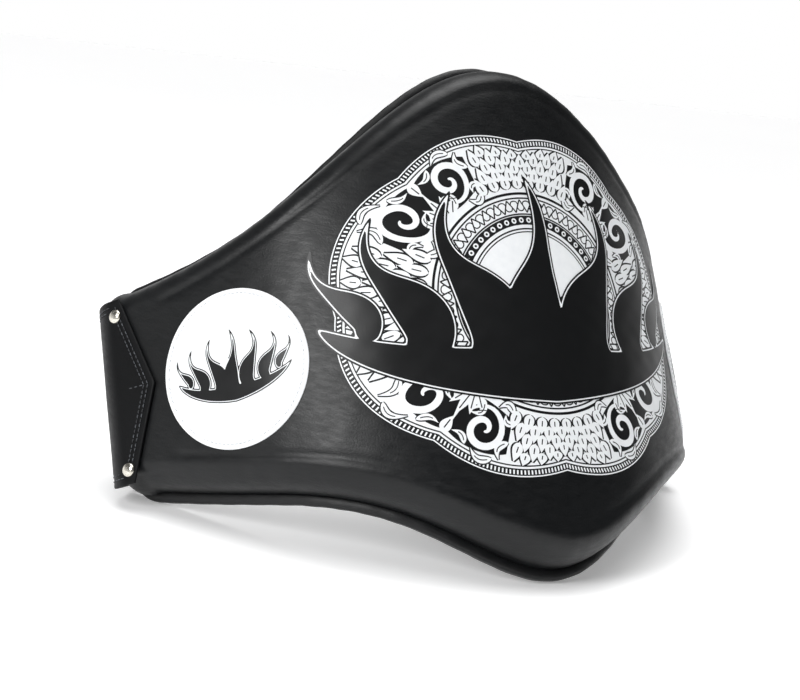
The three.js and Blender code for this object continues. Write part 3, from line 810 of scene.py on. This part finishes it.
def lining():
    """Back lining: nylon cloth laid over the foam's back, sewn in under the binding."""
    s, z = pad_grid(5.0, 5, 120, 54)
    inside, _ = rim_distance(s, z)
    puff = 0.9 * smooth(5, 20, inside) + 0.25 * rippled(s, z, FINE_WAVES) * smooth(12, 40, inside)
    outer = on_pad(s, z, 36.4 + puff)
    inner = on_pad(s, z, np.full_like(s, 35.7))
    piece = made_object("back_lining_cloth", *closed_slab(outer, inner), lining_nylon,
                        "lining_cloth")
    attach(piece, "pad")
    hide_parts("back_lining")


lining()


# The binding's section: its middle, its half-width and its half-depth, and how square it is.
BINDING_IN, BINDING_HALF, BINDING_DEPTH, BINDING_HALF_DEPTH, SQUARENESS = 3.4, 4.2, 36.1, 4.5, 0.6
PULL_HEIGHT, PULL_PITCH = 0.10, 23


def squared(wave):
    return np.sign(wave) * np.abs(wave) ** SQUARENESS


def binding():
    """Rim binding: a leather strip turned over the raw edge, pulled slightly in by its stitches."""
    points, inward, length = rim_loop(pitch=1.6)
    count = len(points)
    walked = np.arange(count) * length / count
    around = np.arange(20) * 2 * math.pi / 20
    pull = PULL_HEIGHT * np.sin(2 * math.pi * walked / (length / round(length / PULL_PITCH)))
    inset = BINDING_IN + (BINDING_HALF + pull[:, None]) * squared(np.cos(around))
    depth = BINDING_DEPTH + (BINDING_HALF_DEPTH + pull[:, None]) * squared(np.sin(around))
    s = points[:, 0, None] + inward[:, 0, None] * inset
    z = points[:, 1, None] + inward[:, 1, None] * inset
    piece = made_object("rim_binding_leather", on_pad(s, z, depth).reshape(-1, 3),
                        grid_faces(*s.shape, closed_rows=True, closed_columns=True),
                        binding_leather, "black_leather")
    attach(piece, "pad")
    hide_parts("rim_binding")
    sewn, sewn_in, _ = rim_loop()
    row = sewn + sewn_in * 4.6
    back = on_pad(row[:, 0], row[:, 1], 40.2)
    threads = stitch_run(back, -outward_at(sewn[:, 0]), 4.2, 3.1, 0.4, closed=True)
    stitches = made_object("rim_binding_stitches", *threads, dark_thread, "strap_leather")
    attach(stitches, "pad")


binding()


# ---- The printed panel: white and black ink, in thin films one over another ----
PRINT_MIDDLE = np.array([0.0, 184.0])
SECTORS, SCALLOP_DEPTH = 8, 7.0
THINNEST_INK = 0.02


def print_radius(angle):
    """Reach of the printed ground from its middle: an oval whose edge swells into scallops."""
    oval = np.hypot(np.cos(angle) / PRINT_HALF_WIDTH, np.sin(angle) / PRINT_HALF_HEIGHT)
    return 1 / oval + SCALLOP_DEPTH * (np.abs(np.sin(SECTORS / 2 * angle)) - 0.5)


def turned_path(angle, radius):
    heading = np.stack([np.cos(angle), np.sin(angle)], -1)
    return PRINT_MIDDLE + heading * np.asarray(radius)[..., None]


def band(path, half_width, across=1, closed=False):
    """A strip of ink along a path in s and z, as flat points and faces."""
    path = np.asarray(path, float)
    if closed:
        along = np.roll(path, -1, 0) - np.roll(path, 1, 0)
    else:
        along = np.gradient(path, axis=0)
    along /= np.maximum(np.linalg.norm(along, axis=1, keepdims=True), 1e-9)
    aside = np.stack([-along[:, 1], along[:, 0]], -1)
    width = np.broadcast_to(np.asarray(half_width, float), len(path))
    share = np.linspace(-1, 1, across + 1)
    points = path[:, None] + aside[:, None] * (share[None, :, None] * width[:, None, None])
    faces = grid_faces(len(path), across + 1, closed_rows=closed)
    return points.reshape(-1, 2), [tuple(f) for f in faces]


def bezier(a, b, c, d, steps=30):
    t = np.linspace(0, 1, steps)[:, None]
    a, b, c, d = (np.array(p, float) for p in (a, b, c, d))
    return (1 - t) ** 3 * a + 3 * t * (1 - t) ** 2 * b + 3 * t**2 * (1 - t) * c + t**3 * d


def tongue_width(steps, widest):
    """Half-widths of a flame tongue: full at the root, pinched, swelling and then drawn thin."""
    t = np.linspace(0, 1, steps)
    swell = 0.86 + 0.22 * np.sin(2.4 * math.pi * t - 0.6)
    return np.maximum(widest * (1 - t) ** 0.75 * swell, THINNEST_INK)


def blade_width(steps, widest, peak=0.42):
    """Half-widths of a blade pointed at both ends."""
    t = np.linspace(0, 1, steps)
    rise = np.clip(t / peak, 0, 1) ** 0.62
    fall = np.clip((1 - t) / (1 - peak), 0, 1) ** 0.8
    return np.maximum(widest * np.minimum(rise, fall) ** 0.9, THINNEST_INK)


INK_THICKNESS = 0.05


def film(name, strips, lift, material, slot):
    """Flat strips of ink laid on the leather as one thin closed body with crisp edges."""
    points, faces = joined(*strips)
    top = on_skin(points[:, 0], points[:, 1], lift)
    under = on_skin(points[:, 0], points[:, 1], lift - INK_THICKNESS)
    count = len(points)
    used = {}
    for face in faces:
        for a, b in zip(face, face[1:] + face[:1]):
            used[(min(a, b), max(a, b))] = None if (min(a, b), max(a, b)) in used else (a, b)
    walls = [(b, a, a + count, b + count) for a, b in (pair for pair in used.values() if pair)]
    bottom = [tuple(k + count for k in face[::-1]) for face in faces]
    piece = made_object(name, np.vstack([top, under]), list(faces) + bottom + walls, material, slot,
                        crisp=35, weld=False)
    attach(piece, "pad")
    return piece


RING_OUTER = 80.0


def in_sector(middle_angle, x, y):
    """A point of the ornament: x from -1 to 1 across a sector, y from the ring 0 to the rim 1."""
    angle = middle_angle + np.asarray(x) * math.pi / SECTORS
    radius = RING_OUTER + 1.0 + (print_radius(angle) - RING_OUTER - 3.0) * np.asarray(y)
    return turned_path(angle, radius)


def leaf(middle_angle, root, tip, width, bow=0.0):
    """Path and half-widths of a leaf in a sector's own coordinates."""
    root, tip = np.array(root, float), np.array(tip, float)
    t = np.linspace(0, 1, 14)
    line = root + (tip - root) * t[:, None]
    side = np.array([-(tip - root)[1], (tip - root)[0]])
    line = line + side * (bow * np.sin(math.pi * t))[:, None]
    path = in_sector(middle_angle, line[:, 0], line[:, 1])
    shape = np.sin(math.pi * t**0.66)
    return path, np.maximum(width * shape, 0.05)


def spiral(middle_angle, centre, size, start, turns, widest, mirror):
    """Path and half-widths of a scroll that winds in to its eye."""
    t = np.linspace(0, 1, 44)
    angle = start + turns * 2 * math.pi * t
    reach = size * (1 - t) ** 0.85 + 0.03
    x = centre[0] + reach * np.cos(angle) * 0.9
    y = centre[1] + reach * np.sin(angle)
    path = in_sector(middle_angle, mirror * x, y)
    return path, np.maximum(widest * np.sin(math.pi * np.clip(0.08 + 0.84 * t, 0, 1)) ** 0.9, 0.3)


# Rings round the print's middle: radius and half-width.
RINGS = [(78.4, 0.9), (75.0, 0.55), (63.3, 0.55), (58.9, 3.3), (52.6, 0.55), (50.4, 0.4)]
LATTICE_CELLS, BEADS, BEAD_RING, BEAD_RADIUS = 44, 60, 58.9, 1.45
# Leaves beside each scroll: root, tip, half-width and bow.
SCROLL_LEAVES = [
    ((0.96, 0.10), (0.62, 0.10), 2.6, 0.35), ((0.98, 0.30), (0.80, 0.16), 2.2, -0.3),
    ((0.98, 0.62), (0.90, 0.96), 2.6, 0.3), ((0.80, 0.97), (0.46, 0.94), 2.4, -0.3),
    ((0.36, 0.94), (0.10, 0.86), 2.2, 0.3), ((0.30, 0.10), (0.16, 0.42), 2.2, -0.4),
]
VEIN, SCROLL_VEIN = 0.4, 0.35


def ring_pattern():
    """The rings, a lattice of crossed lines and arcs between two of them, and a row of beads."""
    circle = np.linspace(0, 2 * math.pi, 220, endpoint=False)
    black = [band(turned_path(circle, np.full_like(circle, radius)), half, closed=True)
             for radius, half in RINGS]
    step = math.pi / LATTICE_CELLS
    run, arc = np.linspace(0, 1, 8), np.linspace(-1, 1, 9)
    bulge = np.sqrt(1 - arc**2)
    for k in range(LATTICE_CELLS):
        angle = 2 * step * k
        for sign in (-1, 1):
            path = turned_path(angle + sign * step * run, 64.6 + 9.2 * run)
            black.append(band(path, 0.5))
        path = turned_path(angle + step * 0.62 * arc, 70.6 + 2.4 * bulge)
        black.append(band(path, 0.42))
        path = turned_path(angle + step + step * 0.55 * arc, 68.0 - 2.2 * bulge)
        black.append(band(path, 0.42))
    around = np.linspace(0, 2 * math.pi, 13)[:-1]
    bead = BEAD_RADIUS * np.stack([np.cos(around), np.sin(around)], -1)
    middles = turned_path(np.arange(BEADS) * 2 * math.pi / BEADS, np.full(BEADS, BEAD_RING))
    return black, [band(middle + bead, 0.55, closed=True) for middle in middles]


def scroll_sector(middle, black, white, line):
    """Two mirrored scrolls on black fields, with leaves round them and a plume between."""
    for mirror in (-1, 1):
        field = in_sector(middle, mirror * np.linspace(0.03, 0.97, 20), np.full(20, 0.52))
        black.append(band(field, 17.5 - 5.5 * np.linspace(-0.6, 1, 20) ** 2, across=4))
        white.append(band(*spiral(middle, (0.52, 0.56), 0.40, 3.6, 1.55, 2.5, mirror)))
        line.append(band(*spiral(middle, (0.52, 0.56), 0.31, 3.9, 1.25, 0.5, mirror)))
        for root, tip, width, bow in SCROLL_LEAVES:
            root, tip = (mirror * root[0], root[1]), (mirror * tip[0], tip[1])
            path, width = leaf(middle, root, tip, width, bow * mirror)
            black.append(band(path, width + 0.9))
            white.append(band(path, width))
            line.append(band(path[2:-4], SCROLL_VEIN))
    plume = [((x * 0.4, 0.05), (x * 1.8, 0.62 - abs(x) * 1.4), 3.4)
             for x in (-0.22, -0.11, 0.0, 0.11, 0.22)]
    for root, tip, widest in (*plume, ((0.0, 0.98), (0.0, 0.66), 4.0)):
        path, width = leaf(middle, root, tip, widest)
        white.append(band(path, width))
        line.append(band(path[3:-3], VEIN))


def scale_sector(middle, black, white, line):
    """Five overlapping rows of pointed scales."""
    for row in range(5):
        low = 0.02 + 0.185 * row
        stagger = 0.0 if row % 2 else 0.145
        for x in np.arange(-1.16, 1.2, 0.29) + stagger:
            if abs(x) > 1.04 - 0.05 * row:
                continue
            tip = (x * 1.02, min(low + 0.36, 1.0))
            path, width = leaf(middle, (x * 0.96, low), tip, 3.7)
            black.append(band(path, width + 1.3))
            white.append(band(path, width))
            line.append(band(path[3:-6], VEIN))


def ornament():
    """Black strips on the white ground, white strips on the black ones, and black veins."""
    black, white = ring_pattern()
    line = []
    for k in range(SECTORS):
        middle = math.pi / 2 + 2 * math.pi * k / SECTORS
        (scroll_sector if k % 2 else scale_sector)(middle, black, white, line)
    return black, white, line


# Flame tongues of the right half of the emblem, root to tip, each with its widest half-width.
FLAMES = [
    ((40, 146), (14, 190), (96, 208), (56, 264), 27.0),
    ((86, 156), (68, 190), (144, 202), (112, 250), 22.0),
    ((124, 172), (118, 192), (170, 200), (155, 234), 14.0),
]
FLAME_MIDDLE = ((0, 142), (-26, 184), (28, 218), (0, 276), 28.0)
FLAME_BED = ((-158, 178), (-100, 118), (100, 118), (158, 178), 21.0)
EMBLEM_MIDDLE = np.array([0.0, 188.0])
EMBLEM_CELL = 1.6
# The ink and slot of each film of a bed of flames.
INKS = {"black": (black_ink, "black_leather"), "outline": (white_ink, "white_print"),
        "heart": (black_ink, "black_leather")}


def emblem_field():
    """How deep inside the bed of flames each point of a fine grid lies, in millimetres."""
    steps = 240
    shapes = [(bezier(*FLAME_BED[:4], steps), blade_width(steps, FLAME_BED[4], peak=0.5))]
    shapes.append((bezier(*FLAME_MIDDLE[:4], steps), tongue_width(steps, FLAME_MIDDLE[4])))
    for mirror in (-1, 1):
        for a, b, c, d, widest in FLAMES:
            shapes.append((bezier(a, b, c, d, steps) * (mirror, 1), tongue_width(steps, widest)))
    s = np.arange(-166, 166 + EMBLEM_CELL, EMBLEM_CELL)
    z = np.arange(108, 280, EMBLEM_CELL)
    field = np.full((len(z), len(s)), -1e3)
    for path, width in shapes:
        for (x, y), half in zip(path, width):
            near_s = np.abs(s - x) < half + 6
            near_z = np.abs(z - y) < half + 6
            reach = half - np.hypot(s[near_s][None] - x, z[near_z][:, None] - y)
            block = np.ix_(near_z, near_s)
            field[block] = np.maximum(field[block], reach)
    return s, z, field


EMBLEM = emblem_field()


def emblem(shrink, scale=1.0, middle=EMBLEM_MIDDLE, stretch=1.0):
    """The bed of flames, shrink inside its full outline: each grid cell is cut along that line."""
    s, z, field = EMBLEM
    inside = field - shrink / scale
    points, faces, numbered = [], [], {}

    def point(key, place):
        if key not in numbered:
            numbered[key] = len(points)
            points.append(place)
        return numbered[key]

    def corner(cell):
        return np.array([s[cell[1]], z[cell[0]]])

    full = inside > 0
    busy = full[:-1, :-1] | full[1:, :-1] | full[:-1, 1:] | full[1:, 1:]
    for i, j in np.argwhere(busy):
        corners = [(i, j), (i, j + 1), (i + 1, j + 1), (i + 1, j)]
        face = []
        for a, b in zip(corners, corners[1:] + corners[:1]):
            if full[a]:
                face.append(point(a, corner(a)))
            if full[a] != full[b]:
                first, second = min(a, b), max(a, b)
                share = inside[first] / (inside[first] - inside[second])
                cut = corner(first) + share * (corner(second) - corner(first))
                face.append(point((first, second), cut))
        if len(face) > 2:
            faces.append(tuple(face))
    flat = (np.array(points) - EMBLEM_MIDDLE) * (scale, scale * stretch) + middle
    return [(flat, faces)]


def border_dashes():
    """The fine outer line and the short dashes inside it."""
    angle = np.linspace(0, 2 * math.pi, 360, endpoint=False)
    strips = [band(turned_path(angle, print_radius(angle) + 5.2), 0.4, closed=True)]
    for a in np.linspace(0, 2 * math.pi, 300, endpoint=False):
        root = print_radius(a)
        dash = turned_path(np.array([a, a + 0.004]), np.array([root + 1.0, root + 3.8]))
        strips.append(band(dash, 0.55))
    return strips


# Heights of the films of ink over the leather; of the flames, also how far each is drawn in.
PRINT_LIFTS = {"ground": 0.10, "ornament": 0.18, "leaves": 0.26, "veins": 0.34}
FLAME_FILMS = (("black", 0.0, 0.46), ("outline", 1.2, 0.60), ("heart", 2.1, 0.74))


def printed_panel():
    """Printed panel: a white ground, then black, white and black again, then the flames."""
    angle = np.linspace(0, 2 * math.pi, 360, endpoint=False)
    reach = print_radius(angle)
    share = np.linspace(0, 1, 26)[1:]
    disc = PRINT_MIDDLE + share[:, None, None] * (turned_path(angle, reach) - PRINT_MIDDLE)[None]
    faces = [tuple(f) for f in grid_faces(len(share), len(angle), closed_columns=True)]
    centre = len(share) * len(angle)
    faces += [(centre, k, (k + 1) % len(angle)) for k in range(len(angle))]
    ground = (np.vstack([disc.reshape(-1, 2), PRINT_MIDDLE]), faces)
    black, white, line = ornament()
    black.append(band(turned_path(angle, reach - 1.9), 0.45, closed=True))
    piece = film("print_white_ground", [ground] + border_dashes(), PRINT_LIFTS["ground"],
                 white_ink, "white_print")
    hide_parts("printed_panel")
    film("print_black_ornament", black, PRINT_LIFTS["ornament"], black_ink, "black_leather")
    film("print_white_ornament", white, PRINT_LIFTS["leaves"], white_ink, "white_print")
    film("print_black_veins", line, PRINT_LIFTS["veins"], black_ink, "black_leather")
    for part, shrink, lift in FLAME_FILMS:
        film(f"print_flames_{part}", emblem(shrink), lift, *INKS[part])


printed_panel()


# ---- Badges ----
BADGE_PROFILE = [
    (0.0, 1.75), (20.0, 1.75), (38.0, 1.70), (48.0, 1.62), (50.6, 1.45), (51.6, 1.18), (52.6, 1.42),
    (53.6, 1.40), (54.4, 1.20), (54.9, 0.85), (55.0, 0.45), (54.8, 0.0), (40.0, 0.0), (0.5, 0.0),
]


BADGE_STITCHED = 51.6
BADGE_SCALE, BADGE_STRETCH = 0.275, 1.12
BADGE_FILMS = (("black", 0.0, 1.85), ("outline", 0.7, 1.93), ("heart", 1.2, 2.01))


def badge(side):
    """Badge: a white leather disc with a turned edge, sewn down just inside it."""
    name = SIDES[side]
    angle = np.linspace(0, 2 * math.pi, 120, endpoint=False)
    rings, lifts = np.array(BADGE_PROFILE).T
    rings = np.maximum(rings, 0.4)
    s = side * BADGE_S + rings[:, None] * np.cos(angle)
    z = BADGE_Z + rings[:, None] * np.sin(angle)
    points = on_skin(s, z, np.broadcast_to(lifts[:, None], s.shape)).reshape(-1, 3)
    faces = capped_rings(len(rings), len(angle))
    piece = made_object(f"{name}_badge_leather", points, faces, badge_leather, "white_leather")
    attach(piece, "pad")
    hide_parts(f"{name}_badge")
    loop = np.linspace(0, 2 * math.pi, 200, endpoint=False)
    sewn_s = side * BADGE_S + BADGE_STITCHED * np.cos(loop)
    sewn_z = BADGE_Z + BADGE_STITCHED * np.sin(loop)
    row = on_skin(sewn_s, sewn_z, 1.45)
    threads = stitch_run(row, outward_at(sewn_s), 3.2, 2.4, 0.32, closed=True)
    stitches = made_object(f"{name}_badge_stitches", *threads, pale_thread, "white_leather")
    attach(stitches, "pad")
    middle = np.array([side * BADGE_S, BADGE_Z])
    for part, shrink, lift in BADGE_FILMS:
        flames = emblem(shrink, BADGE_SCALE, middle, BADGE_STRETCH)
        film(f"{name}_badge_flames_{part}", flames, lift, *INKS[part])


for side in SIDES:
    badge(side)


# ---- Strap anchors ----
def anchor_line(side):
    """Middle line of an anchor seen from above: along the wing, round its end and in behind it."""
    strap_y = STRAP_Y[side]
    s = np.linspace(ANCHOR_TIP_S, HALF_LENGTH - BEVEL_WIDTH, 12)
    front = on_pad(s, 0.0, -1.75)
    turn = np.radians(np.linspace(6, 90, 15))
    wrap = on_pad(312 + 28.4 * np.sin(turn), 0.0, EDGE_DEPTH - 37.4 * np.cos(turn))
    corner = on_pad(340.4, 0.0, 40.2)
    inward = -outward_at(np.array([HALF_LENGTH]))[0]
    meeting = corner + inward * (strap_y - corner[1]) / inward[1]
    end = np.array([ANCHOR_END_X + 8, strap_y, 0.0])
    t = np.linspace(0, 1, 16)[:, None]
    bend = (1 - t) ** 2 * corner + 2 * t * (1 - t) * meeting + t**2 * end
    line = np.vstack([front, wrap, bend, [[ANCHOR_END_X, strap_y, 0.0]]])
    walked = walk(line)
    path = read_along(np.linspace(0, walked[-1], 260), walked, line)
    for _ in range(30):
        path[1:-1] = (path[:-2] + 2 * path[1:-1] + path[2:]) / 4
    return path[:, :2], walk(path)


def anchor_point(side, line, distance, height, lift):
    """Worn points on an anchor: distance along it, height 0 to 1 up it, lift off its middle."""
    path, walked = line
    here = read_along(distance, walked, path)
    ahead, behind = (read_along(distance + step, walked, path) for step in (0.8, -0.8))
    tangent = ahead - behind
    tangent /= np.linalg.norm(tangent, axis=-1, keepdims=True)
    outward = np.stack([tangent[..., 1], -tangent[..., 0]], -1)
    narrowing = smooth(0.3, 0.95, distance / walked[-1])
    low = ANCHOR_LOW + (BELT_LOW - ANCHOR_LOW) * narrowing
    high = ANCHOR_HIGH + (BELT_HIGH - ANCHOR_HIGH) * narrowing
    place = here + outward * np.asarray(lift)[..., None]
    z = low + (high - low) * height
    worn = np.stack([side * place[..., 0], place[..., 1], z], -1)
    normal = np.stack([side * outward[..., 0], outward[..., 1], np.zeros_like(z)], -1)
    return worn, normal


ANCHOR_ROWS, ANCHOR_GROOVE = (5.0, 8.2), 0.35
ANCHOR_STITCH, ANCHOR_SEWN_TO, ANCHOR_FLEX = (3.4, 2.6, 0.38), 74, 30


def anchor(side):
    """Strap anchor: one pointed strip of strap leather folded round the end of the wing."""
    name = SIDES[side]
    line = anchor_line(side)
    total = line[1][-1]
    width = ANCHOR_HIGH - ANCHOR_LOW
    height = spread(width, 2.0, 3.0) / width
    along = spread(total, 2.0, 2.2) / total
    share, up = np.meshgrid(along, height)
    start = ANCHOR_POINT * np.abs(2 * up - 1)
    distance = start + (total - start) * share
    from_end = np.minimum(share, 1 - share) * total
    from_edge = np.minimum(np.minimum(up, 1 - up) * width, from_end)
    half = STRAP_LEATHER / 2 * (0.25 + 0.75 * rounded(from_edge, 1.6))
    groove = sum(ANCHOR_GROOVE * np.exp(-((from_edge - row) ** 2)) for row in ANCHOR_ROWS)
    ripple = 0.16 * np.sin(distance / 7.0 + 3 * up) * np.sin(9 * up + distance / 19.0)
    bulge = 0.5 * np.exp(-(((distance - 62) / 16) ** 2)) * np.sin(math.pi * up) ** 0.5
    outer, _ = anchor_point(side, line, distance, up, half - groove + ripple + bulge)
    inner, _ = anchor_point(side, line, distance, up, -half)
    piece = made_object(f"{name}_anchor_leather", *closed_slab(outer, inner), strap_leather,
                        "strap_leather")
    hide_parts(f"{name}_anchor")
    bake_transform(piece)

    runs = []

    def sew(along, heights, lift=1.15):
        heights = np.broadcast_to(heights, along.shape)
        row, normals = anchor_point(side, line, along, heights, np.full(along.shape, lift))
        runs.append(stitch_run(row, normals, *ANCHOR_STITCH))

    for inset in ANCHOR_ROWS:
        lower, upper = inset / width, 1 - inset / width
        rise = np.linspace(upper, lower, 160)
        sew(ANCHOR_POINT * np.abs(2 * rise - 1) + inset * 1.06, rise)
        for edge in (lower, upper):
            sew(np.linspace(ANCHOR_POINT + inset + 3, ANCHOR_SEWN_TO, 60), edge)
    sew(np.linspace(9.0, 22.0, 20), 0.5, 1.2)
    stitches = made_object(f"{name}_anchor_stitches", *joined(*runs), dark_thread, "strap_leather")
    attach(stitches, "pad")


for side in SIDES:
    anchor(side)


# ---- Rivets ----
CAP_PROFILE = [
    (0.02, 4.85), (1.0, 4.82), (2.0, 4.70), (3.0, 4.45), (3.8, 4.10), (4.4, 3.70), (4.75, 3.35),
    (4.9, 3.05), (4.85, 2.85), (4.5, 2.75), (1.6, 2.75), (1.6, -9.9), (0.02, -9.9),
]


def rivet(side, level, z):
    """Rivet: a domed cap pressed on a plain shank, with a thin rolled flange."""
    name = f"{SIDES[side]}_{level}_rivet"
    out = outward_at(np.array([side * RIVET_S]))[0]
    up = np.array([0.0, 0.0, 1.0])
    aside = np.cross(up, out)
    middle = on_pad(side * RIVET_S, z, 0.0)
    angle = np.linspace(0, 2 * math.pi, 40, endpoint=False)
    radius, lift = np.array(CAP_PROFILE).T
    ring = np.cos(angle)[:, None] * aside + np.sin(angle)[:, None] * up
    points = middle + radius[:, None, None] * ring[None] + lift[:, None, None] * out
    faces = capped_rings(len(radius), len(angle))
    piece = made_object(f"{name}_domed", points.reshape(-1, 3), faces, nickel, "nickel", crisp=50)
    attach(piece, "pad")
    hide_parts(name)


for side in SIDES:
    for level, height in RIVET_HEIGHTS.items():
        rivet(side, level, height)


# ---- Belt halves and closure ----
def node_reach(node):
    """A flat belt piece's middle, half-length, half-height and half-thickness, as worn."""
    low, high = (np.array(corner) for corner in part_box(node))
    middle = unplaced((low + high) / 2)
    half = (high - low) / 2 * 1000
    tilt = np.linalg.solve([[LEAN_COS, LEAN_SIN], [LEAN_SIN, LEAN_COS]], half[1:])
    return middle, half[0], tilt[1], tilt[0]


STRAP_ROOT_X, STRAP_LENGTH, STRAP_WIDE, STRAP_NARROW = 186.0, 238.0, 116.0, 104.0
ROOT_LAP, TAB_GAP, SEWN_GROOVE, RIB_PITCH = 4.0, 4.0, 0.3, 3.0


def strap_width(x, side):
    """Width of a strap at x: it narrows from its anchor to the end that is buckled over."""
    walked = STRAP_ROOT_X - side * x
    narrowed = (STRAP_WIDE - STRAP_NARROW) * np.clip(walked / STRAP_LENGTH, 0, 1)
    return STRAP_WIDE - narrowed


def flat_strip(name, node, body, material, slot, corner=14.0, extend=(0.0, 0.0), taper_side=0,
               ribs=0.0, puff=0.0, sewn=5.0, root_side=0, bend=None):
    """A flat belt piece with rounded edges: its outline, its relief and its rows of stitches."""
    middle, half_length, half_height, half_thick = node_reach(node)
    start, end = middle[0] - half_length - extend[0], middle[0] + half_length + extend[1]
    length = end - start
    along = spread(length, min(corner, length / 4), 1.5 if ribs else 2.6) + start
    across = (spread(2 * half_height, 1.6, 2.4) - half_height) / half_height
    x, v = np.meshgrid(along, across)
    width = np.full_like(x, half_height)
    if taper_side:
        width = strap_width(x, taper_side) / 2
    from_start, from_end = x - start, end - x
    for gap, rounded_end in ((from_start, root_side != -1), (from_end, root_side != 1)):
        if rounded_end:
            past = np.clip(corner - gap, 0, corner)
            width = width - (corner - np.sqrt(np.maximum(corner**2 - past**2, 0)))
    z = middle[2] + v * width
    from_edge = np.minimum((1 - np.abs(v)) * width, np.minimum(from_start, from_end))
    half = half_thick * (0.3 + 0.7 * rounded(from_edge, 1.3))
    if root_side:
        from_root = from_start if root_side < 0 else from_end
        half = np.minimum(half, half_thick * (0.3 + 0.7 * rounded(from_root, ROOT_LAP)))
    ribbed = np.sin(2 * math.pi * v * half_height / RIB_PITCH)
    relief = ribs * ribbed + puff * rippled(x * 2, z * 2, FINE_WAVES)
    relief = relief * np.clip(from_edge / 2, 0, 1)
    if root_side:
        relief = relief * np.clip((from_root - ROOT_LAP) / 2, 0, 1)
    relief = relief - SEWN_GROOVE * np.exp(-((from_edge - sewn) ** 2))
    outer = np.stack([x, middle[1] + half + relief, z], -1)
    inner = np.stack([x, middle[1] - half - relief, z], -1)
    piece = made_object(name, *closed_slab(outer, inner), material, slot)
    if bend:
        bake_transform(piece)
    else:
        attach(piece, body)
    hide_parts(node)

    runs = []

    def sew(xs, heights, face):
        y = middle[1] + face * (half_thick + 0.05)
        line = np.stack(np.broadcast_arrays(xs, y, middle[2] + heights), -1)
        normals = np.tile([0.0, face, 0.0], (len(line), 1))
        runs.append(stitch_run(line, normals, 3.8, 2.8, 0.36))

    row = along[(along > start + sewn) & (along < end - sewn)]
    wide = np.interp(row, along, width[0])
    for face in (1, -1):
        for sign in (1, -1):
            sew(row, sign * (wide - sewn), face)
        for edge in (start + sewn, end - sewn):
            reach = np.interp(edge, along, width[0]) - sewn
            sew(edge, np.linspace(-reach, reach, 40), face)
    stitches = made_object(f"{name}_stitches", *joined(*runs), dark_thread, "strap_leather")
    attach(stitches, body)


flat_strip("left_strap_leather", "left_strap", "left_belt", strap_leather, "strap_leather",
           taper_side=-1, extend=(ROOT_LAP, 0), puff=0.05, root_side=-1)
flat_strip("loop_pile_panel", "loop_panel", "left_belt", loop_pile, "pile",
           corner=4.0, puff=0.12, sewn=2.5)
flat_strip("right_strap_leather", "right_strap", "right_belt", strap_leather, "strap_leather",
           corner=1.0, taper_side=1, extend=(0, ROOT_LAP), puff=0.05, root_side=1)
flat_strip("elastic_web_panel", "elastic_panel", "right_belt", elastic_web, "elastic",
           corner=1.0, extend=(0, ROOT_LAP), ribs=0.22, sewn=4.0, root_side=1)
flat_strip("closure_tab_leather", "closure_tab", "closure", strap_leather, "strap_leather",
           extend=(0, TAB_GAP + ROOT_LAP), puff=0.05, root_side=1, bend=("right_belt", 26.0, 14.0))
flat_strip("hook_tape_panel", "hook_panel", "closure", hook_pile, "pile",
           corner=4.0, puff=0.1, sewn=2.5)
